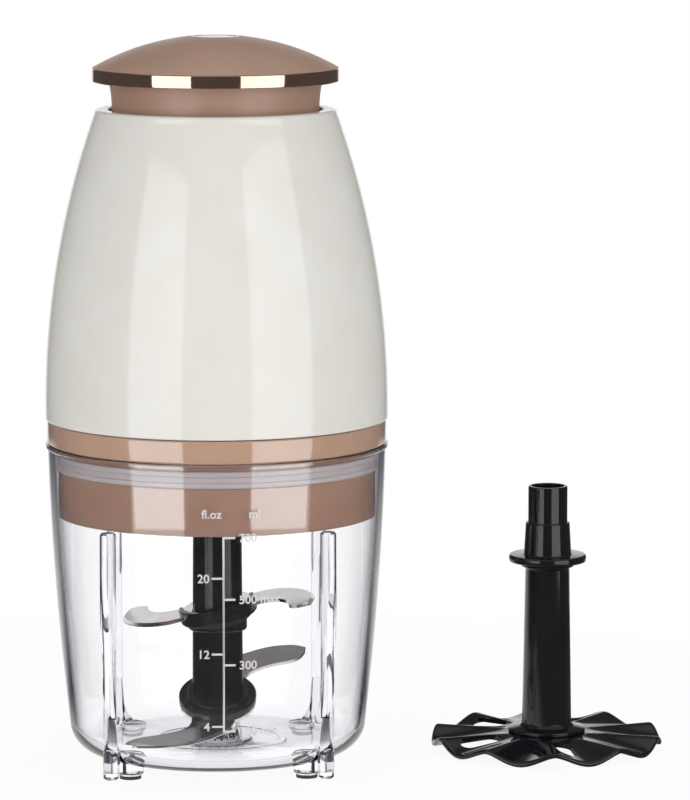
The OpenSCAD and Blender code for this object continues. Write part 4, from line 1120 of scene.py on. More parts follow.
@dataclass
class Lid:
    """Tan lid that plugs the bowl, with its double-lip seal."""

    plug_r: float = 54.86
    in_r: float = 52.46
    low_z: float = 87.5
    floor_z: float = 90.0
    rim_z: float = 112.5
    top_z: float = 120.4
    rim_r: float = 58.7
    skirt_in_r: float = 56.9
    web_z: float = 114.7
    hole_r: float = 7.5
    collar_r: float = 9.3
    collar_z: float = 96.5
    groove_r: float = 53.76
    groove_z: float = 103.8
    groove_top_z: float = 109.8
    seal_r: float = 55.72
    seal_gap: float = 0.03
    seal_t: float = 1.25
    lip_h: float = 1.9
    lip_round: float = 0.85
    plug_drop: float = 0.1

    def build(self) -> Piece:
        """Builds the lid from one turned outline.

        Returns:
            The piece, with the plug's faces numbered for the second finish, the tan with painted shade.
        """
        corners = [
            (self.hole_r, self.low_z, 0.4),
            (self.plug_r, self.low_z, 1.0),
            (self.plug_r, self.groove_z, 0.25),
            (self.groove_r, self.groove_z, 0.0),
            (self.groove_r, self.groove_top_z, 0.0),
            (self.plug_r, self.groove_top_z, 0.25),
            (self.plug_r, self.rim_z, 0.2),
            (self.rim_r, self.rim_z, 0.6),
            (self.rim_r, self.top_z, 0.7),
            (self.skirt_in_r, self.top_z, 0.4),
            (self.skirt_in_r, self.web_z, 0.5),
            (self.plug_r, self.web_z, 0.5),
            (self.plug_r, self.top_z, 0.4),
            (self.in_r, self.top_z, 0.5),
            (self.in_r, self.floor_z, 1.2),
            (self.collar_r, self.floor_z, 0.6),
            (self.collar_r, self.collar_z, 0.4),
            (self.hole_r, self.collar_z, 0.4),
        ]
        lid = settle(lathe("lid_moulding", rounded(*corners)))
        # The plug's faces, from just under the rim down, take the deeper tan: painted shade for the light that the
        # bowl round them takes away.
        for face in lid.data.polygons:
            face.material_index = int(face.center.z < (self.rim_z - self.plug_drop) * MM)
        return lid

    def build_seal(self) -> Piece:
        """Builds the silicone ring with its two round lips.

        Returns:
            The piece.
        """
        low, top = self.groove_z + self.seal_gap, self.groove_top_z - self.seal_gap
        back, deep = self.groove_r + self.seal_gap, self.groove_r + self.seal_t
        mid_low, mid_top = low + self.lip_h, top - self.lip_h
        corners = [
            (back, low, 0.2),
            (self.seal_r, low, self.lip_round),
            (self.seal_r, mid_low, self.lip_round),
            (deep, mid_low, 0.4),
            (deep, mid_top, 0.4),
            (self.seal_r, mid_top, self.lip_round),
            (self.seal_r, top, self.lip_round),
            (back, top, 0.2),
        ]
        return settle(lathe("seal_ring", rounded(*corners, steps=6)), crease=40)

    def dress(self, palette: Palette) -> None:
        """Builds and finishes the lid and its seal."""
        # The second finish is the same tan with painted shade, on the plug inside the bowl.
        palette.keep(self.build(), [LID_TAN, PLUG_TAN_PAINTED_SHADE], "lid", "tan_plastic", "lid")
        palette.keep(self.build_seal(), [SEAL_SILICONE], "lid", "silicone", "lid_seal")


@dataclass
class MotorUnit:
    """White housing with its gland, and everything that it hides."""

    low_z: float = 120.7
    top_z: float = 227.3
    wide_z: float = 125.0
    wide_r: float = 59.2
    top_r: float = 41.2
    wall: float = 2.4
    deck_edge_r: float = 1.3
    guide_r: float = 36.9
    guide_t: float = 1.8
    guide_z: float = 213.3
    gland_z: float = 133.7
    gland_y: float = 61.4
    gland_r: float = 5.2
    gland_flange_r: float = 7.2
    gland_hole_r: float = 3.2
    gland_back_y: float = 54.2
    gland_lip: float = 1.8
    gland_waist: float = 5.4
    gland_step: float = 0.8
    foot_h: float = 0.9

    side_steps: ClassVar[int] = 48
    edge_steps: ClassVar[int] = 6
    hole_reach: ClassVar[Point] = (-75.0, -50.0)

    def radius(self, z: float) -> float:
        """Gives the housing's outer radius at a height, on one long arc.

        Args:
            z: the height.

        Returns:
            The radius.
        """
        fall = self.wide_r - self.top_r
        arc = ((self.top_z - self.wide_z) ** 2 + fall**2) / (2 * fall)
        return self.wide_r - arc + math.sqrt(arc**2 - (z - self.wide_z) ** 2)

    def _side(self, low: float, high: float, inset: float) -> list[Point]:
        """Draws the arc between two heights."""
        return [(self.radius(z) - inset, z) for z in spaced(low, high, self.side_steps)]

    def build(self) -> Piece:
        """Builds the housing with the opening for the gland.

        Returns:
            The piece.
        """
        outer = self._side(self.low_z + self.foot_h, self.top_z - self.deck_edge_r, 0.0)
        inner = self._side(self.low_z, self.top_z - self.wall, self.wall)
        edge = self.deck_edge_r
        rim = outer[-1][0]
        turn = [math.radians(a) for a in spaced(0.0, 90.0, self.edge_steps)[1:]]
        deck = [(rim - edge * (1 - math.cos(a)), self.top_z - edge + edge * math.sin(a)) for a in turn]
        foot = rounded(
            (self.radius(self.low_z) - self.wall, self.low_z, 0.0),
            (self.radius(self.low_z), self.low_z, 0.7),
            (*outer[0], 0.0),
            closed=False,
        )
        top = rounded(
            (*deck[-1], 0.0),
            (self.guide_r, self.top_z, 0.5),
            (self.guide_r, self.guide_z, 0.3),
            (self.guide_r + self.guide_t, self.guide_z, 0.3),
            (self.guide_r + self.guide_t, inner[-1][1], 0.0),
            closed=False,
        )
        shell = lathe("housing", [*foot[:-1], *outer, *deck[:-1], *top, *inner[:0:-1]])
        hole = prism("gland_hole", circle(self.gland_r, 64), *self.hole_reach)
        move(hole, Matrix.Translation((0, 0, self.gland_z)) @ UPRIGHT)
        return settle(combine(shell, hole, Join.CUT), crease=30)

    def build_gland(self) -> Piece:
        """Builds the grommet with its round flange and waist.

        Returns:
            The piece.
        """
        long = self.gland_y - self.gland_back_y
        corners = [
            (self.gland_hole_r, 0.0, 0.5),
            (self.gland_flange_r, 0.0, 1.0),
            (self.gland_flange_r, self.gland_lip, 0.3),
            (self.gland_r - FIT, self.gland_lip, 0.2),
            (self.gland_r - FIT, self.gland_waist, 0.2),
            (self.gland_flange_r - self.gland_step, self.gland_waist, 0.4),
            (self.gland_flange_r - self.gland_step, long, 0.4),
            (self.gland_hole_r, long, 0.4),
        ]
        gland = lathe("gland", rounded(*corners), SMALL_SIDES)
        return settle(move(gland, Matrix.Translation((0, self.gland_y, self.gland_z)) @ UPRIGHT))

    def dress(self, palette: Palette) -> None:
        """Builds the outside and finishes what it hides."""
        palette.keep(self.build(), [SHELL_WHITE], "motor_unit", "white_plastic", "shell")
        palette.keep(self.build_gland(), [HUB_BLACK], "motor_unit", "black_plastic", "cord_gland")
        for finish, names in INSIDE.items():
            palette.dress(finish, *names)


@dataclass
class PressCap:
    """Domed press cap with its bright ring, neck and top disc."""

    top_z: float = 252.6
    ring_top_z: float = 241.3
    ring_z: float = 236.7
    ring_r: float = 42.4
    ring_in_r: float = 41.1
    neck_r: float = 36.6
    neck_low_r: float = 35.6
    neck_wall: float = 2.0
    neck_z: float = 227.3
    skirt_z: float = 211.0
    web_z: float = 222.5
    disc_r: float = 8.5
    disc_z: float = 251.5
    disc_t: float = 0.65
    disc_rim: float = 0.9
    disc_slope: float = 1.1
    disc_edge_t: float = 0.5
    well_gap: float = 0.3
    well_edge: float = 0.5
    skin_inset: float = 0.25
    seam: float = 0.03
    neck_seam: float = 0.01
    cover_h: float = 2.1
    plug_h: float = 2.0

    skin_steps: ClassVar[int] = 40
    flare_steps: ClassVar[int] = 12

    def crown(self, r: float) -> float:
        """Gives the dome's height at a radius.

        Args:
            r: the radius.

        Returns:
            The height.
        """
        rise = self.top_z - self.ring_top_z
        ball = (self.ring_r**2 + rise**2) / (2 * rise)
        return self.top_z - ball + math.sqrt(ball**2 - r**2)

    def build_dome(self) -> Piece:
        """Builds the dome with the round recess in its top.

        Returns:
            The piece.
        """
        well = self.disc_r + self.well_gap
        start, edge = well + self.well_edge, self.ring_r - self.skin_inset
        radii = spaced(start, edge, self.skin_steps)
        recess = rounded(
            (0.0, self.disc_z - FIT, 0.0),
            (well, self.disc_z - FIT, 0.15),
            (well, self.crown(well), 0.3),
            (radii[0], self.crown(radii[0]), 0.0),
            closed=False,
        )
        low = self.ring_top_z + self.seam
        skin = [(r, self.crown(r)) for r in radii[1:]]
        in_r, floor = self.ring_in_r - FIT, self.ring_z + self.cover_h
        outline = [*recess, *skin, (edge, low), (in_r, low), (in_r, floor), (0.0, floor)]
        return settle(lathe("dome_cover", outline[::-1]))

    def build_ring(self) -> Piece:
        """Builds the plated ring with crisp round edges.

        Returns:
            The piece.
        """
        corners = [
            (self.ring_in_r, self.ring_z, 0.1),
            (self.ring_r, self.ring_z, 0.45),
            (self.ring_r, self.ring_top_z, 0.45),
            (self.ring_in_r, self.ring_top_z, 0.1),
        ]
        return settle(lathe("bright_ring", rounded(*corners, steps=8)), crease=50)

    def build_neck(self) -> Piece:
        """Builds the neck with its flare up to the ring and its web.

        Returns:
            The piece.
        """
        show = self.ring_z - self.neck_z
        rim, under = self.ring_in_r - self.seam, self.ring_z + self.neck_seam
        flare = [
            (self.neck_low_r + (self.neck_r - self.neck_low_r) * t**2, self.neck_z + show * t)
            for t in (i / self.flare_steps for i in range(self.flare_steps))
        ]
        corner = rounded(
            (flare[-1][0], flare[-1][1], 0.0),
            (self.neck_r, under, 1.0),
            (rim, under, 0.0),
            closed=False,
        )
        in_r = self.neck_low_r - self.neck_wall
        top = self.ring_z + self.plug_h
        outline = [
            (in_r, self.skirt_z),
            (self.neck_low_r, self.skirt_z),
            *flare[:-1],
            *corner,
            (rim, top),
            (0.0, top),
            (0.0, self.web_z),
            (in_r, self.web_z),
        ]
        return settle(lathe("cap_neck", outline))

    def build_disc(self) -> Piece:
        """Builds the top disc with its raised rim and faint crown.

        Returns:
            The piece.
        """
        z, top = self.disc_z, self.disc_z + self.disc_t
        outline = rounded(
            (0.0, z, 0.0),
            (self.disc_r, z, 0.1),
            (self.disc_r, top, 0.25),
            (self.disc_r - self.disc_rim, top, 0.15),
            (self.disc_r - self.disc_slope, z + self.disc_edge_t, 0.15),
            (0.0, top, 0.0),
            closed=False,
        )
        return settle(lathe("top_disc", outline, STEM_SIDES))

    def dress(self, palette: Palette) -> None:
        """Builds and finishes the cap's pieces."""
        for piece, finish, slot, node in (
            (self.build_dome(), CAP_TAN, "tan_plastic", "dome"),
            (self.build_ring(), RING_COPPER, "copper_plate", "trim_ring"),
            (self.build_neck(), CAP_TAN, "tan_plastic", "cap_skirt"),
            (self.build_disc(), DISC_SILVER, "silver_foil", "cap_disc"),
        ):
            palette.keep(piece, [finish], "push_cap", slot, node)
        palette.dress(MOTOR_STEEL, "cap_screws")


@dataclass
class DriveEnd:
    """Narrow neck with a round mouth and a six-sided socket, the same on hub and whisk."""

    neck_r: float = 6.9
    neck_h: float = 13.0
    bore_r: float = 5.7
    bore_h: float = 6.0
    hex_r: float = 5.5
    hex_h: float = 10.0

    def corners(self, top: float) -> list[Corner]:
        """Gives the outline from the neck's foot over the mouth to the socket's floor on the axis.

        Args:
            top: height of the upper end.

        Returns:
            Corners for a turned outline.
        """
        seat = top - self.bore_h
        return [
            (self.neck_r, top - self.neck_h, 0.3),
            (self.neck_r, top, 0.35),
            (self.bore_r, top, 0.3),
            (self.bore_r, seat, 0.0),
            (0.0, seat, 0.0),
        ]

    def socket(self, top: float) -> Piece:
        """Builds the six-sided hole below the round mouth."""
        low = top - self.bore_h - self.hex_h
        return prism("socket", circle(self.hex_r, 6), low, top - self.bore_h + 0.5)


@dataclass(frozen=True)
class Blade:
    """Place of one blade and the plan of its wings, from the hub out and back."""

    name: str
    node: str
    z: float
    tilt: Point
    lead: tuple[Point, ...]
    trail: tuple[Point, ...]
    bend: float = 0.0

    def place(self) -> Matrix:
        """Gives the blade's plane."""
        return tilted(self.z, *self.tilt)


UPPER_BLADE = Blade(
    name="upper_blade_steel",
    node="upper_blade",
    z=54.0,
    tilt=(7.0, -12.0),
    lead=(
        *((6.0, 5.6), (13.8, 6.2), (18.5, 6.6), (24.5, 4.3)),
        *((29.1, 0.3), (32.5, -5.0), (33.7, -11.4), (31.7, -18.5)),
    ),
    trail=(
        *((27.1, -18.8), (24.6, -16.8), (24.2, -12.4), (22.8, -9.0)),
        *((19.5, -6.1), (14.7, -5.2), (6.0, -5.6)),
    ),
)
LOWER_BLADE = Blade(
    name="lower_blade_steel",
    node="lower_blade",
    z=20.4,
    tilt=(24.0, -2.0),
    lead=((-6.0, 4.0), (-5.5, 14.8), (-1.5, 20.5), (6.0, 26.9), (18.0, 32.2), (27.0, 33.0), (32.2, 31.4)),
    trail=((31.8, 28.2), (29.8, 24.8), (26.0, 22.4), (19.8, 20.8), (13.0, 17.4), (9.5, 12.4), (9.5, 4.0)),
    bend=14.0,
)


@dataclass
class BladeUnit:
    """Black hub on the spindle with two tilted blades."""

    drive: DriveEnd
    upper: Blade = UPPER_BLADE
    lower: Blade = LOWER_BLADE
    low_z: float = 16.8
    shoulder_z: float = 86.75
    top_z: float = 99.7
    low_r: float = 8.9
    high_r: float = 8.4
    dish: float = 0.4
    bush_r: float = 5.03
    bush_h: float = 26.0
    pin_hole_r: float = 4.0
    pin_top_z: float = 62.5
    flange_r: float = 13.5
    flange_gap: float = 0.03
    lower_flange_t: float = 3.0
    lower_step_r: float = 10.6
    lower_step_t: float = 1.4
    upper_flange_t: float = 2.4
    upper_step_r: float = 11.4
    upper_step_t: float = 1.5
    step_sink: float = 1.0
    collar_r: float = 10.3
    collar_h: float = 6.6
    collar_drop: float = 1.0
    collar_sink: float = 3.2
    blade_t: float = 1.2
    bend_y: float = 14.5
    bevel: float = 0.9
    bevel_land: float = 0.25
    disc_r: float = 13.2
    notch_r: float = 12.2
    notch_half: float = 63.0
    notch_play: float = 0.5
    fill_rise: float = 0.2
    clamp_steps: int = 2
    clamp_half: float = 92.0
    clamp_w: float = 1.7
    clamp_rise: float = 0.95
    clamp_step: float = 0.35

    wing_steps: ClassVar[int] = 8
    ease_steps: ClassVar[int] = 12
    arc_steps: ClassVar[int] = 36
    core_reach: ClassVar[float] = 20.0

    def _flange(self, name: str, low: float, high: float, radius: float, place: Matrix) -> Piece:
        """Builds one tilted flange with round edges.

        Args:
            name: name of the solid.
            low: lower face above the blade's middle plane.
            high: upper face above that plane.
            radius: its radius.
            place: the blade's plane.

        Returns:
            The solid in its place.
        """
        outline = rounded((0, low, 0), (radius, low, 0.5), (radius, high, 0.5), (0, high, 0), closed=False)
        return move(lathe(name, outline, SMALL_SIDES), place)

    def build_hub(self) -> Piece:
        """Builds the hub with its flanges, collar, clamp rim and drive end.

        Returns:
            The piece.
        """
        half = self.blade_t / 2
        near = half + self.flange_gap
        outline = rounded(
            (0.0, self.low_z + self.dish, 0.0),
            (self.low_r, self.low_z, 0.5),
            (self.high_r, self.shoulder_z, 0.6),
            *self.drive.corners(self.top_z),
            closed=False,
        )
        hub = lathe("hub_moulding", outline, STEM_SIDES)
        upper, lower = self.upper.place(), self.lower.place()
        low_end, high_end = half + self.lower_flange_t, -half - self.upper_flange_t
        sink = half + self.step_sink
        solids = [
            self._flange("lower_flange", near, low_end, self.flange_r, lower),
            self._flange("lower_step", sink, low_end + self.lower_step_t, self.lower_step_r, lower),
            self._flange("upper_flange", high_end, -near, self.flange_r, upper),
            self._flange("upper_step", high_end - self.upper_step_t, -sink, self.upper_step_r, upper),
            self._collar(),
        ]
        fill_half, fill_r = self.notch_half - self.notch_play, self.notch_r + FIT
        fill = self._sector(fill_half, fill_r, self.flange_r, -sink, near + self.fill_rise)
        solids.append(move(fill, upper))
        for level in range(self.clamp_steps):
            reach = self.flange_r - level * self.clamp_step
            high = near + (level + 1) * self.clamp_rise
            clamp = self._sector(self.clamp_half, self.flange_r - self.clamp_w, reach, near, high)
            solids.append(move(clamp, upper))
        for solid in solids:
            combine(hub, solid, Join.UNION)
        combine(hub, self.drive.socket(self.top_z), Join.CUT)
        under, seat = self.low_z - 2 * OVER, self.low_z + self.bush_h
        bore = [(0.0, under), (self.bush_r, under), (self.bush_r, seat)]
        bore += [(self.pin_hole_r, seat), (self.pin_hole_r, self.pin_top_z), (0.0, self.pin_top_z)]
        combine(hub, lathe("bore", bore, 64), Join.CUT)
        return settle(hub, crease=30)

    def _collar(self) -> Piece:
        """Builds the straight collar under the upper flange.

        Returns:
            The solid.
        """
        high, r = self.upper.z - self.collar_sink, self.collar_r
        low = self.upper.z - self.collar_drop - self.collar_h
        outline = rounded((0, low, 0), (r, low, 0.8), (r, high, 0), (0, high, 0), closed=False)
        return lathe("collar", outline, SMALL_SIDES)

    def _sector(self, half: float, inner: float, outer: float, low: float, high: float) -> Piece:
        """Builds the front piece of a ring that clamps the upper blade.

        Args:
            half: half its angle in degrees.
            inner: its inner radius.
            outer: its outer radius.
            low: its lower face.
            high: its upper face.

        Returns:
            The solid in the blade's plane.
        """
        arc = [math.radians(half * (2 * k / self.arc_steps - 1) - 90) for k in range(self.arc_steps + 1)]
        plan = [(outer * math.cos(a), outer * math.sin(a)) for a in arc]
        plan += [(inner * math.cos(a), inner * math.sin(a)) for a in reversed(arc)]
        return prism("sector", plan, low, high)

    def _wing(self, blade: Blade) -> Piece:
        """Builds one flat wing with a ground bevel on its leading edge.

        Args:
            blade: whose wing it is.

        Returns:
            The solid in the blade's plane.
        """
        front = smooth_curve(blade.lead, self.wing_steps)
        low = front + smooth_curve(blade.trail, self.wing_steps)
        count, edge = len(low), len(front)
        slim = [Vector(p) for p in low]
        for i in range(1, edge):
            ahead = Vector(low[min(i + 1, edge - 1)]) - Vector(low[i - 1])
            inward = Vector((ahead.y, -ahead.x)).normalized()
            ease = min(1.0, i / self.ease_steps)
            slim[i] = Vector(low[i]) + inward * self.bevel * ease
        half = self.blade_t / 2
        points = [(x, y, -half) for x, y in low] + [(x, y, -half + self.bevel_land) for x, y in low]
        points += [(p.x, p.y, half) for p in slim]
        faces = [list(range(count))]
        for level in (0, count):
            for k in range(count):
                n = (k + 1) % count
                faces.append([level + n, level + k, level + count + k, level + count + n])
        faces.append([2 * count + k for k in range(count)][::-1])
        return new_object("wing", points, faces)

    def build_blade(self, blade: Blade) -> Piece:
        """Builds a blade of two wings on a disc.

        Args:
            blade: its place and plan; the second wing is bent up, and a flat blade has a notch for the clamp rim.

        Returns:
            The piece in its place.
        """
        half = self.blade_t / 2
        rise = math.tan(math.radians(blade.bend))

        def bent(p: Vector) -> Vector:
            """Lifts what lies beyond the bend line."""
            return Vector((p.x, p.y, p.z + max(0.0, p.y - self.bend_y) * rise))

        plate = [(0, -half), (self.disc_r, -half), (self.disc_r, half), (0, half)]
        steel = lathe(blade.name, plate, SMALL_SIDES)
        combine(steel, self._wing(blade), Join.UNION)
        combine(steel, move(move(self._wing(blade), bent), spun(180)), Join.UNION)
        if not blade.bend:
            notch = self._sector(self.notch_half, self.notch_r, self.flange_r + OVER, -self.blade_t, self.blade_t)
            combine(steel, notch, Join.CUT)
        move(steel, blade.place())
        low, high = blade.z - self.core_reach, blade.z + self.core_reach
        core = prism("core", circle(self.low_r + FIT, SMALL_SIDES), low, high)
        combine(steel, core, Join.CUT)
        return settle(steel, crease=12)

    def dress(self, palette: Palette) -> None:
        """Builds and finishes the hub and both blades."""
        palette.keep(self.build_hub(), [HUB_BLACK], "blade_unit", "black_plastic", "hub")
        for blade in (self.upper, self.lower):
            palette.keep(self.build_blade(blade), [BLADE_STEEL], "blade_unit", "blade_steel", blade.node)
        palette.dress(BUSH_BRONZE, "hub_bush")


@dataclass
class Whisk:
    """Loose whisk: a black stem on a wavy disc with five slots."""

    drive: DriveEnd
    x: float = 116.4
    y: float = 19.0
    top_z: float = 93.0
    low_z: float = 3.47
    in_r: float = 9.57
    flange_z: float = 5.33
    flange_t: float = 2.5
    flange_r: float = 13.6
    foot_r: float = 8.7
    high_r: float = 7.8
    top_flange_z: float = 66.2
    collar_w: float = 1.5
    collar_h: float = 1.6
    collar_foot_h: float = 2.4
    shoulder_r: float = 8.1
    rim_r: float = 40.7
    hub_z: float = 4.4
    rim_z: float = 2.8
    thick: float = 1.8
    wave: float = 1.8
    waves: int = 10
    slots: int = 5
    slot_phase: float = 63.0
    slot_w: float = 6.8
    slot_len: float = 16.0
    slot_round: float = 0.98
    crease: Point = (1.1, 0.5)

    sides: ClassVar[int] = 400
    rings: ClassVar[int] = 26
    hub_rings: ClassVar[int] = 3
    rim_steps: ClassVar[int] = 6
    slot_reach: ClassVar[Point] = (-5.0, 15.0)

    def build_stem(self) -> Piece:
        """Builds the stem with both flanges, collar and drive end.

        Returns:
            The piece.
        """
        flange_top = self.flange_z + self.flange_t
        top_flange_top = self.top_flange_z + self.flange_t
        neck_z = self.top_z - self.drive.neck_h
        outline = rounded(
            (0.0, self.low_z, 0.0),
            (self.in_r - FIT, self.low_z, 0.3),
            (self.in_r - FIT, self.flange_z, 0.0),
            (self.flange_r, self.flange_z, 0.4),
            (self.flange_r, flange_top - 1.1, 0.4),
            (self.foot_r + 0.9, flange_top - 0.3, 0.5),
            (self.foot_r, flange_top + 0.7, 0.5),
            (self.high_r, self.top_flange_z - self.collar_foot_h, 0.3),
            (self.high_r + self.collar_w, self.top_flange_z - self.collar_h, 0.3),
            (self.high_r + self.collar_w, self.top_flange_z, 0.2),
            (self.flange_r, self.top_flange_z, 0.5),
            (self.flange_r, top_flange_top, 0.7),
            (self.shoulder_r + 0.25, top_flange_top, 0.5),
            (self.shoulder_r - 0.4, neck_z + 0.2, 0.8),
            *self.drive.corners(self.top_z),
            closed=False,
        )
        stem = lathe("whisk_stem_moulding", outline, STEM_SIDES)
        combine(stem, self.drive.socket(self.top_z), Join.CUT)
        return settle(move(stem, Matrix.Translation((self.x, self.y, 0))), crease=30)

    def height(self, r: float, a: float) -> float:
        """Gives the disc's middle height: round troughs between crests that are creased near the stem.

        Args:
            r: radius.
            a: angle in radians.

        Returns:
            Height in millimetres.
        """
        grow = max(0.0, (r - self.flange_r) / (self.rim_r - self.flange_r))
        crease = self.crease[0] + self.crease[1] * grow**2
        swing = 1 - 2 * abs(math.cos(self.waves * a / 2)) ** crease
        return self.hub_z + (self.rim_z - self.hub_z) * grow + self.wave * grow * swing

    def build_disc(self) -> Piece:
        """Builds the wavy disc with a round rim and cuts its slots.

        Returns:
            The piece.
        """
        sides, half = self.sides, self.thick / 2
        radii = spaced(self.in_r, self.flange_r, self.hub_rings)[:-1]
        radii += spaced(self.flange_r, self.rim_r - half, self.rings)
        bend = [math.radians(b) for b in spaced(0.0, 180.0, self.rim_steps)[1:-1]]
        loop = [(r, half) for r in radii]
        loop += [(self.rim_r - half + half * math.sin(b), half * math.cos(b)) for b in bend]
        loop += [(r, -half) for r in reversed(radii)]
        points: list[Point3] = []
        for r, dz in loop:
            for k in range(sides):
                a = 2 * math.pi * k / sides
                points.append((r * math.cos(a), r * math.sin(a), self.height(r, a) + dz))
        faces = []
        for i in range(len(loop)):
            j = (i + 1) % len(loop)
            for k in range(sides):
                n = (k + 1) % sides
                faces.append([i * sides + k, j * sides + k, j * sides + n, i * sides + n])
        disc = new_object("whisk_wave", points, faces)
        combine(disc, self._slots(), Join.CUT)
        return settle(move(disc, Matrix.Translation((self.x, self.y, 0))), crease=38)

    def _slots(self) -> Piece:
        """Builds the five rounded slots as cutters.

        Returns:
            The cutters as one mesh.
        """
        half, end = self.slot_len / 2, self.slot_w / 2
        mid = (self.flange_r + self.rim_r) / 2
        corners = [(mid - half, -end), (mid + half, -end), (mid + half, end), (mid - half, end)]
        plan = rounded(*((x, y, end * self.slot_round) for x, y in corners), steps=10)
        cutters = [
            move(prism("slot", plan, *self.slot_reach), spun(self.slot_phase + 360 * i / self.slots))
            for i in range(self.slots)
        ]
        return merged("slots", cutters)

    def dress(self, palette: Palette) -> None:
        """Builds and finishes the stem and the disc."""
        for piece, node in ((self.build_stem(), "whisk_stem"), (self.build_disc(), "whisk_disc")):
            palette.keep(piece, [HUB_BLACK], "whisk", "black_plastic", node)


@dataclass
class Softbox:
    """One soft lamp that looks at the object."""

    name: str
    azimuth: float
    distance: float
    z: float
    width: float
    height: float
    power: float

    def hang(self, target: Vector) -> None:
        """Hangs the lamp and points it.

        Args:
            target: where it looks, in metres.
        """
        data = bpy.data.lights.new(self.name, "AREA")
        data.shape = "RECTANGLE"
        data.size, data.size_y = self.width, self.height
        data.energy = self.power
        lamp = bpy.data.objects.new(self.name, data)
        a = math.radians(self.azimuth)
        lamp.location = (self.distance * math.sin(a), -self.distance * math.cos(a), self.z)
        lamp.rotation_euler = (target - lamp.location).to_track_quat("-Z", "Y").to_euler()
        bpy.context.scene.collection.objects.link(lamp)


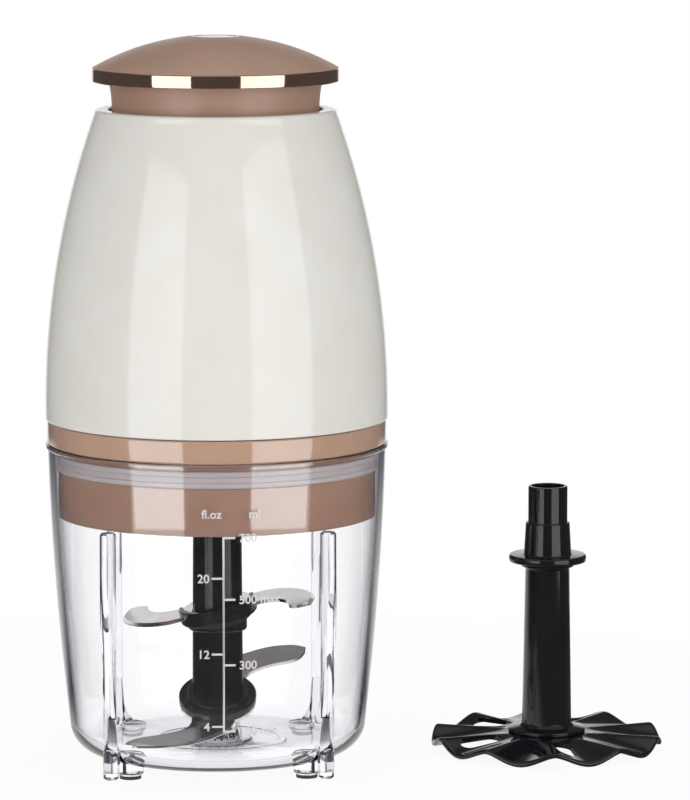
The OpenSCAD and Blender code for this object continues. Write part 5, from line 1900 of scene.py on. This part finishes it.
@dataclass
class Studio:
    """Camera, lamps, pale floor and white surroundings, in metres.

    Fades on the floor follow a place on it, and fades in the room a direction from the object.
    """

    eye: Point3 = (-0.0109, -1.6, 0.3434)
    pitch: float = -7.724
    yaw: float = 1.978
    lens: float = 210.09
    sensor: float = 36.0
    target: Point3 = (0.03, 0.0, 0.14)
    floor_r: float = 0.36
    floor_paint: str = "#F7F7F7"
    shadow: Fade = Fade(0.2, 0.34, 0.93, 1.0)
    floor_front: Fade = Fade(0.05, 0.14, 1.0, DIM)
    floor_back: Fade = Fade(0.61, 0.86)
    floor_strip: Fade = Fade(0.05, 0.08, 1.0, DIM)
    floor_through: Fade = Fade(-0.2, -0.07, 0.8, BRIGHT)
    fill: Fade = Fade(-0.2, 0.9, 0.2, 0.85)
    backdrop_wide: Fade = Fade(0.92, 0.98, DIM, 1.0)
    backdrop_high: Fade = Fade(0.5, 0.85, 1.0, 0.3)
    ceiling: Fade = Fade(0.62, 0.85)
    ceiling_level: float = 0.5
    below: Fade = Fade(-0.2, -0.14, 1.0, 0.0)
    below_level: Fade = Fade(0.7, 0.93, DIM, 1.0)
    through_level: Fade = Fade(0.55, 0.93, 0.25, BRIGHT)
    turned_wide: Fade = Fade(-0.1, 0.65, DIM, 1.0)
    turned_high: Fade = Fade(0.4, 0.46, 1.0, 0.25)
    turned_down: Fade = Fade(0.965, 0.988, DIM, 1.0)
    upward: Fade = Fade(-0.09, -0.02)

    lamps: ClassVar[tuple[Softbox, ...]] = (
        Softbox("softbox_left", -41.5, 1.15, 0.16, 0.78, 1.18, 6.2),
        Softbox("softbox_right", 44.0, 1.15, 0.19, 0.90, 1.24, 7.0),
    )

    def camera(self) -> None:
        """Sets the camera at the photograph's viewpoint."""
        data = bpy.data.cameras.new("photo_camera")
        data.lens, data.sensor_width = self.lens, self.sensor
        camera = bpy.data.objects.new("photo_camera", data)
        camera.location = self.eye
        camera.rotation_euler = (math.radians(90 + self.pitch), 0.0, math.radians(-self.yaw))
        bpy.context.scene.collection.objects.link(camera)
        bpy.context.scene.camera = camera

    def _rays(self, tree: Tree) -> tuple[Socket, ...]:
        """Sorts the rays that have not been scattered by a matt surface.

        Args:
            tree: node tree of the floor or the room.

        Returns:
            Shares of rays that come off a shiny surface, out of something clear, out of something clear after
            a mirroring inside it, and straight from the camera.
        """
        path = add_node(tree, "ShaderNodeLightPath").outputs
        keen = worked(tree, "LESS_THAN", path["Diffuse Depth"], 0.5)
        mirrored, through, straight = (
            worked(tree, "MULTIPLY", path[f"Is {kind} Ray"], keen) for kind in ("Glossy", "Transmission", "Camera")
        )
        bent = worked(tree, "GREATER_THAN", path["Glossy Depth"], 0.5)
        return mirrored, through, worked(tree, "MULTIPLY", through, bent), straight

    def floor(self) -> None:
        """Lays the floor: white to look at, with the object's soft shadow near it."""
        rim = circle(self.floor_r / MM, SMALL_SIDES)
        plane = new_object("studio_floor", [(x, y, 0.0) for x, y in rim], [list(range(SMALL_SIDES))])
        material, tree = blank_material("painted_white_floor")
        place = add_node(tree, "ShaderNodeTexCoord").outputs["Object"]
        away = add_node(tree, "ShaderNodeVectorMath", {"operation": "LENGTH"}, {0: place}).outputs["Value"]
        parts = add_node(tree, "ShaderNodeSeparateXYZ", links={0: place}).outputs
        mirrored, through, turned, straight = self._rays(tree)
        seen = worked(tree, "MAXIMUM", worked(tree, "MAXIMUM", mirrored, through), straight)
        share = worked(tree, "MULTIPLY", seen, self.shadow.follow(tree, away))
        behind = self.floor_back.follow(tree, worked(tree, "DIVIDE", parts["Y"], away))
        shiny = layered(tree, self.floor_front.follow(tree, away), (behind, 1.0))
        strip = self.floor_strip.follow(tree, worked(tree, "ABSOLUTE", parts["X"]))
        inside = worked(tree, "MULTIPLY", shiny, strip)
        beyond = self.floor_through.follow(tree, parts["Y"])
        level = layered(tree, shiny, (through, beyond), (turned, inside), (straight, 1.0))
        matt = add_node(tree, "ShaderNodeBsdfDiffuse", {"Color": to_linear(self.floor_paint)})
        glow = add_node(tree, "ShaderNodeEmission", {"Color": WHITE}, {"Strength": level})
        links = {0: share, 1: matt.outputs["BSDF"], 2: glow.outputs["Emission"]}
        surface = add_node(tree, "ShaderNodeMixShader", links=links)
        add_node(tree, "ShaderNodeOutputMaterial", links={"Surface": surface.outputs["Shader"]})
        plane.data.materials.append(material)

    def surroundings(self) -> None:
        """Sets the room: white to look at, dark in front for mirrors, and an even low fill on the object."""
        world = bpy.data.worlds.new("studio_room")
        bpy.context.scene.world = world
        world.use_nodes = True
        tree = world.node_tree
        tree.nodes.clear()
        way = add_node(tree, "ShaderNodeTexCoord").outputs["Generated"]
        parts = add_node(tree, "ShaderNodeSeparateXYZ", links={0: way}).outputs
        back, up = parts["Y"], parts["Z"]
        mirrored, through, turned, straight = self._rays(tree)
        room, inside = (
            worked(tree, "MULTIPLY", wide.follow(tree, back), high.follow(tree, up))
            for wide, high in ((self.backdrop_wide, self.backdrop_high), (self.turned_wide, self.turned_high))
        )
        room = layered(
            tree,
            room,
            (self.ceiling.follow(tree, up), self.ceiling_level),
            (self.below.follow(tree, up), self.below_level.follow(tree, back)),
        )
        inside = layered(tree, self.turned_down.follow(tree, back), (self.upward.follow(tree, up), inside))
        level = layered(
            tree,
            self.fill.follow(tree, up),
            (mirrored, room),
            (through, self.through_level.follow(tree, back)),
            (turned, inside),
            (straight, 1.0),
        )
        light = add_node(tree, "ShaderNodeBackground", {"Color": WHITE}, {"Strength": level})
        add_node(tree, "ShaderNodeOutputWorld", links={"Surface": light.outputs["Background"]})

    def build(self) -> None:
        """Sets up the whole studio."""
        bpy.context.scene.view_settings.view_transform = "Standard"
        self.camera()
        self.floor()
        self.surroundings()
        for lamp in self.lamps:
            lamp.hang(Vector(self.target))


def main() -> None:
    """Builds the studio and every sub-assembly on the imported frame."""
    logging.basicConfig(level=logging.INFO, format="%(name)s: %(message)s")
    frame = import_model()
    palette = Palette(frame["nodes"])
    drive = DriveEnd()
    Studio().build()
    for assembly in (Bowl(), Lid(), MotorUnit(), PressCap(), BladeUnit(drive), Whisk(drive)):
        assembly.dress(palette)


if __name__ == "__main__":
    main()
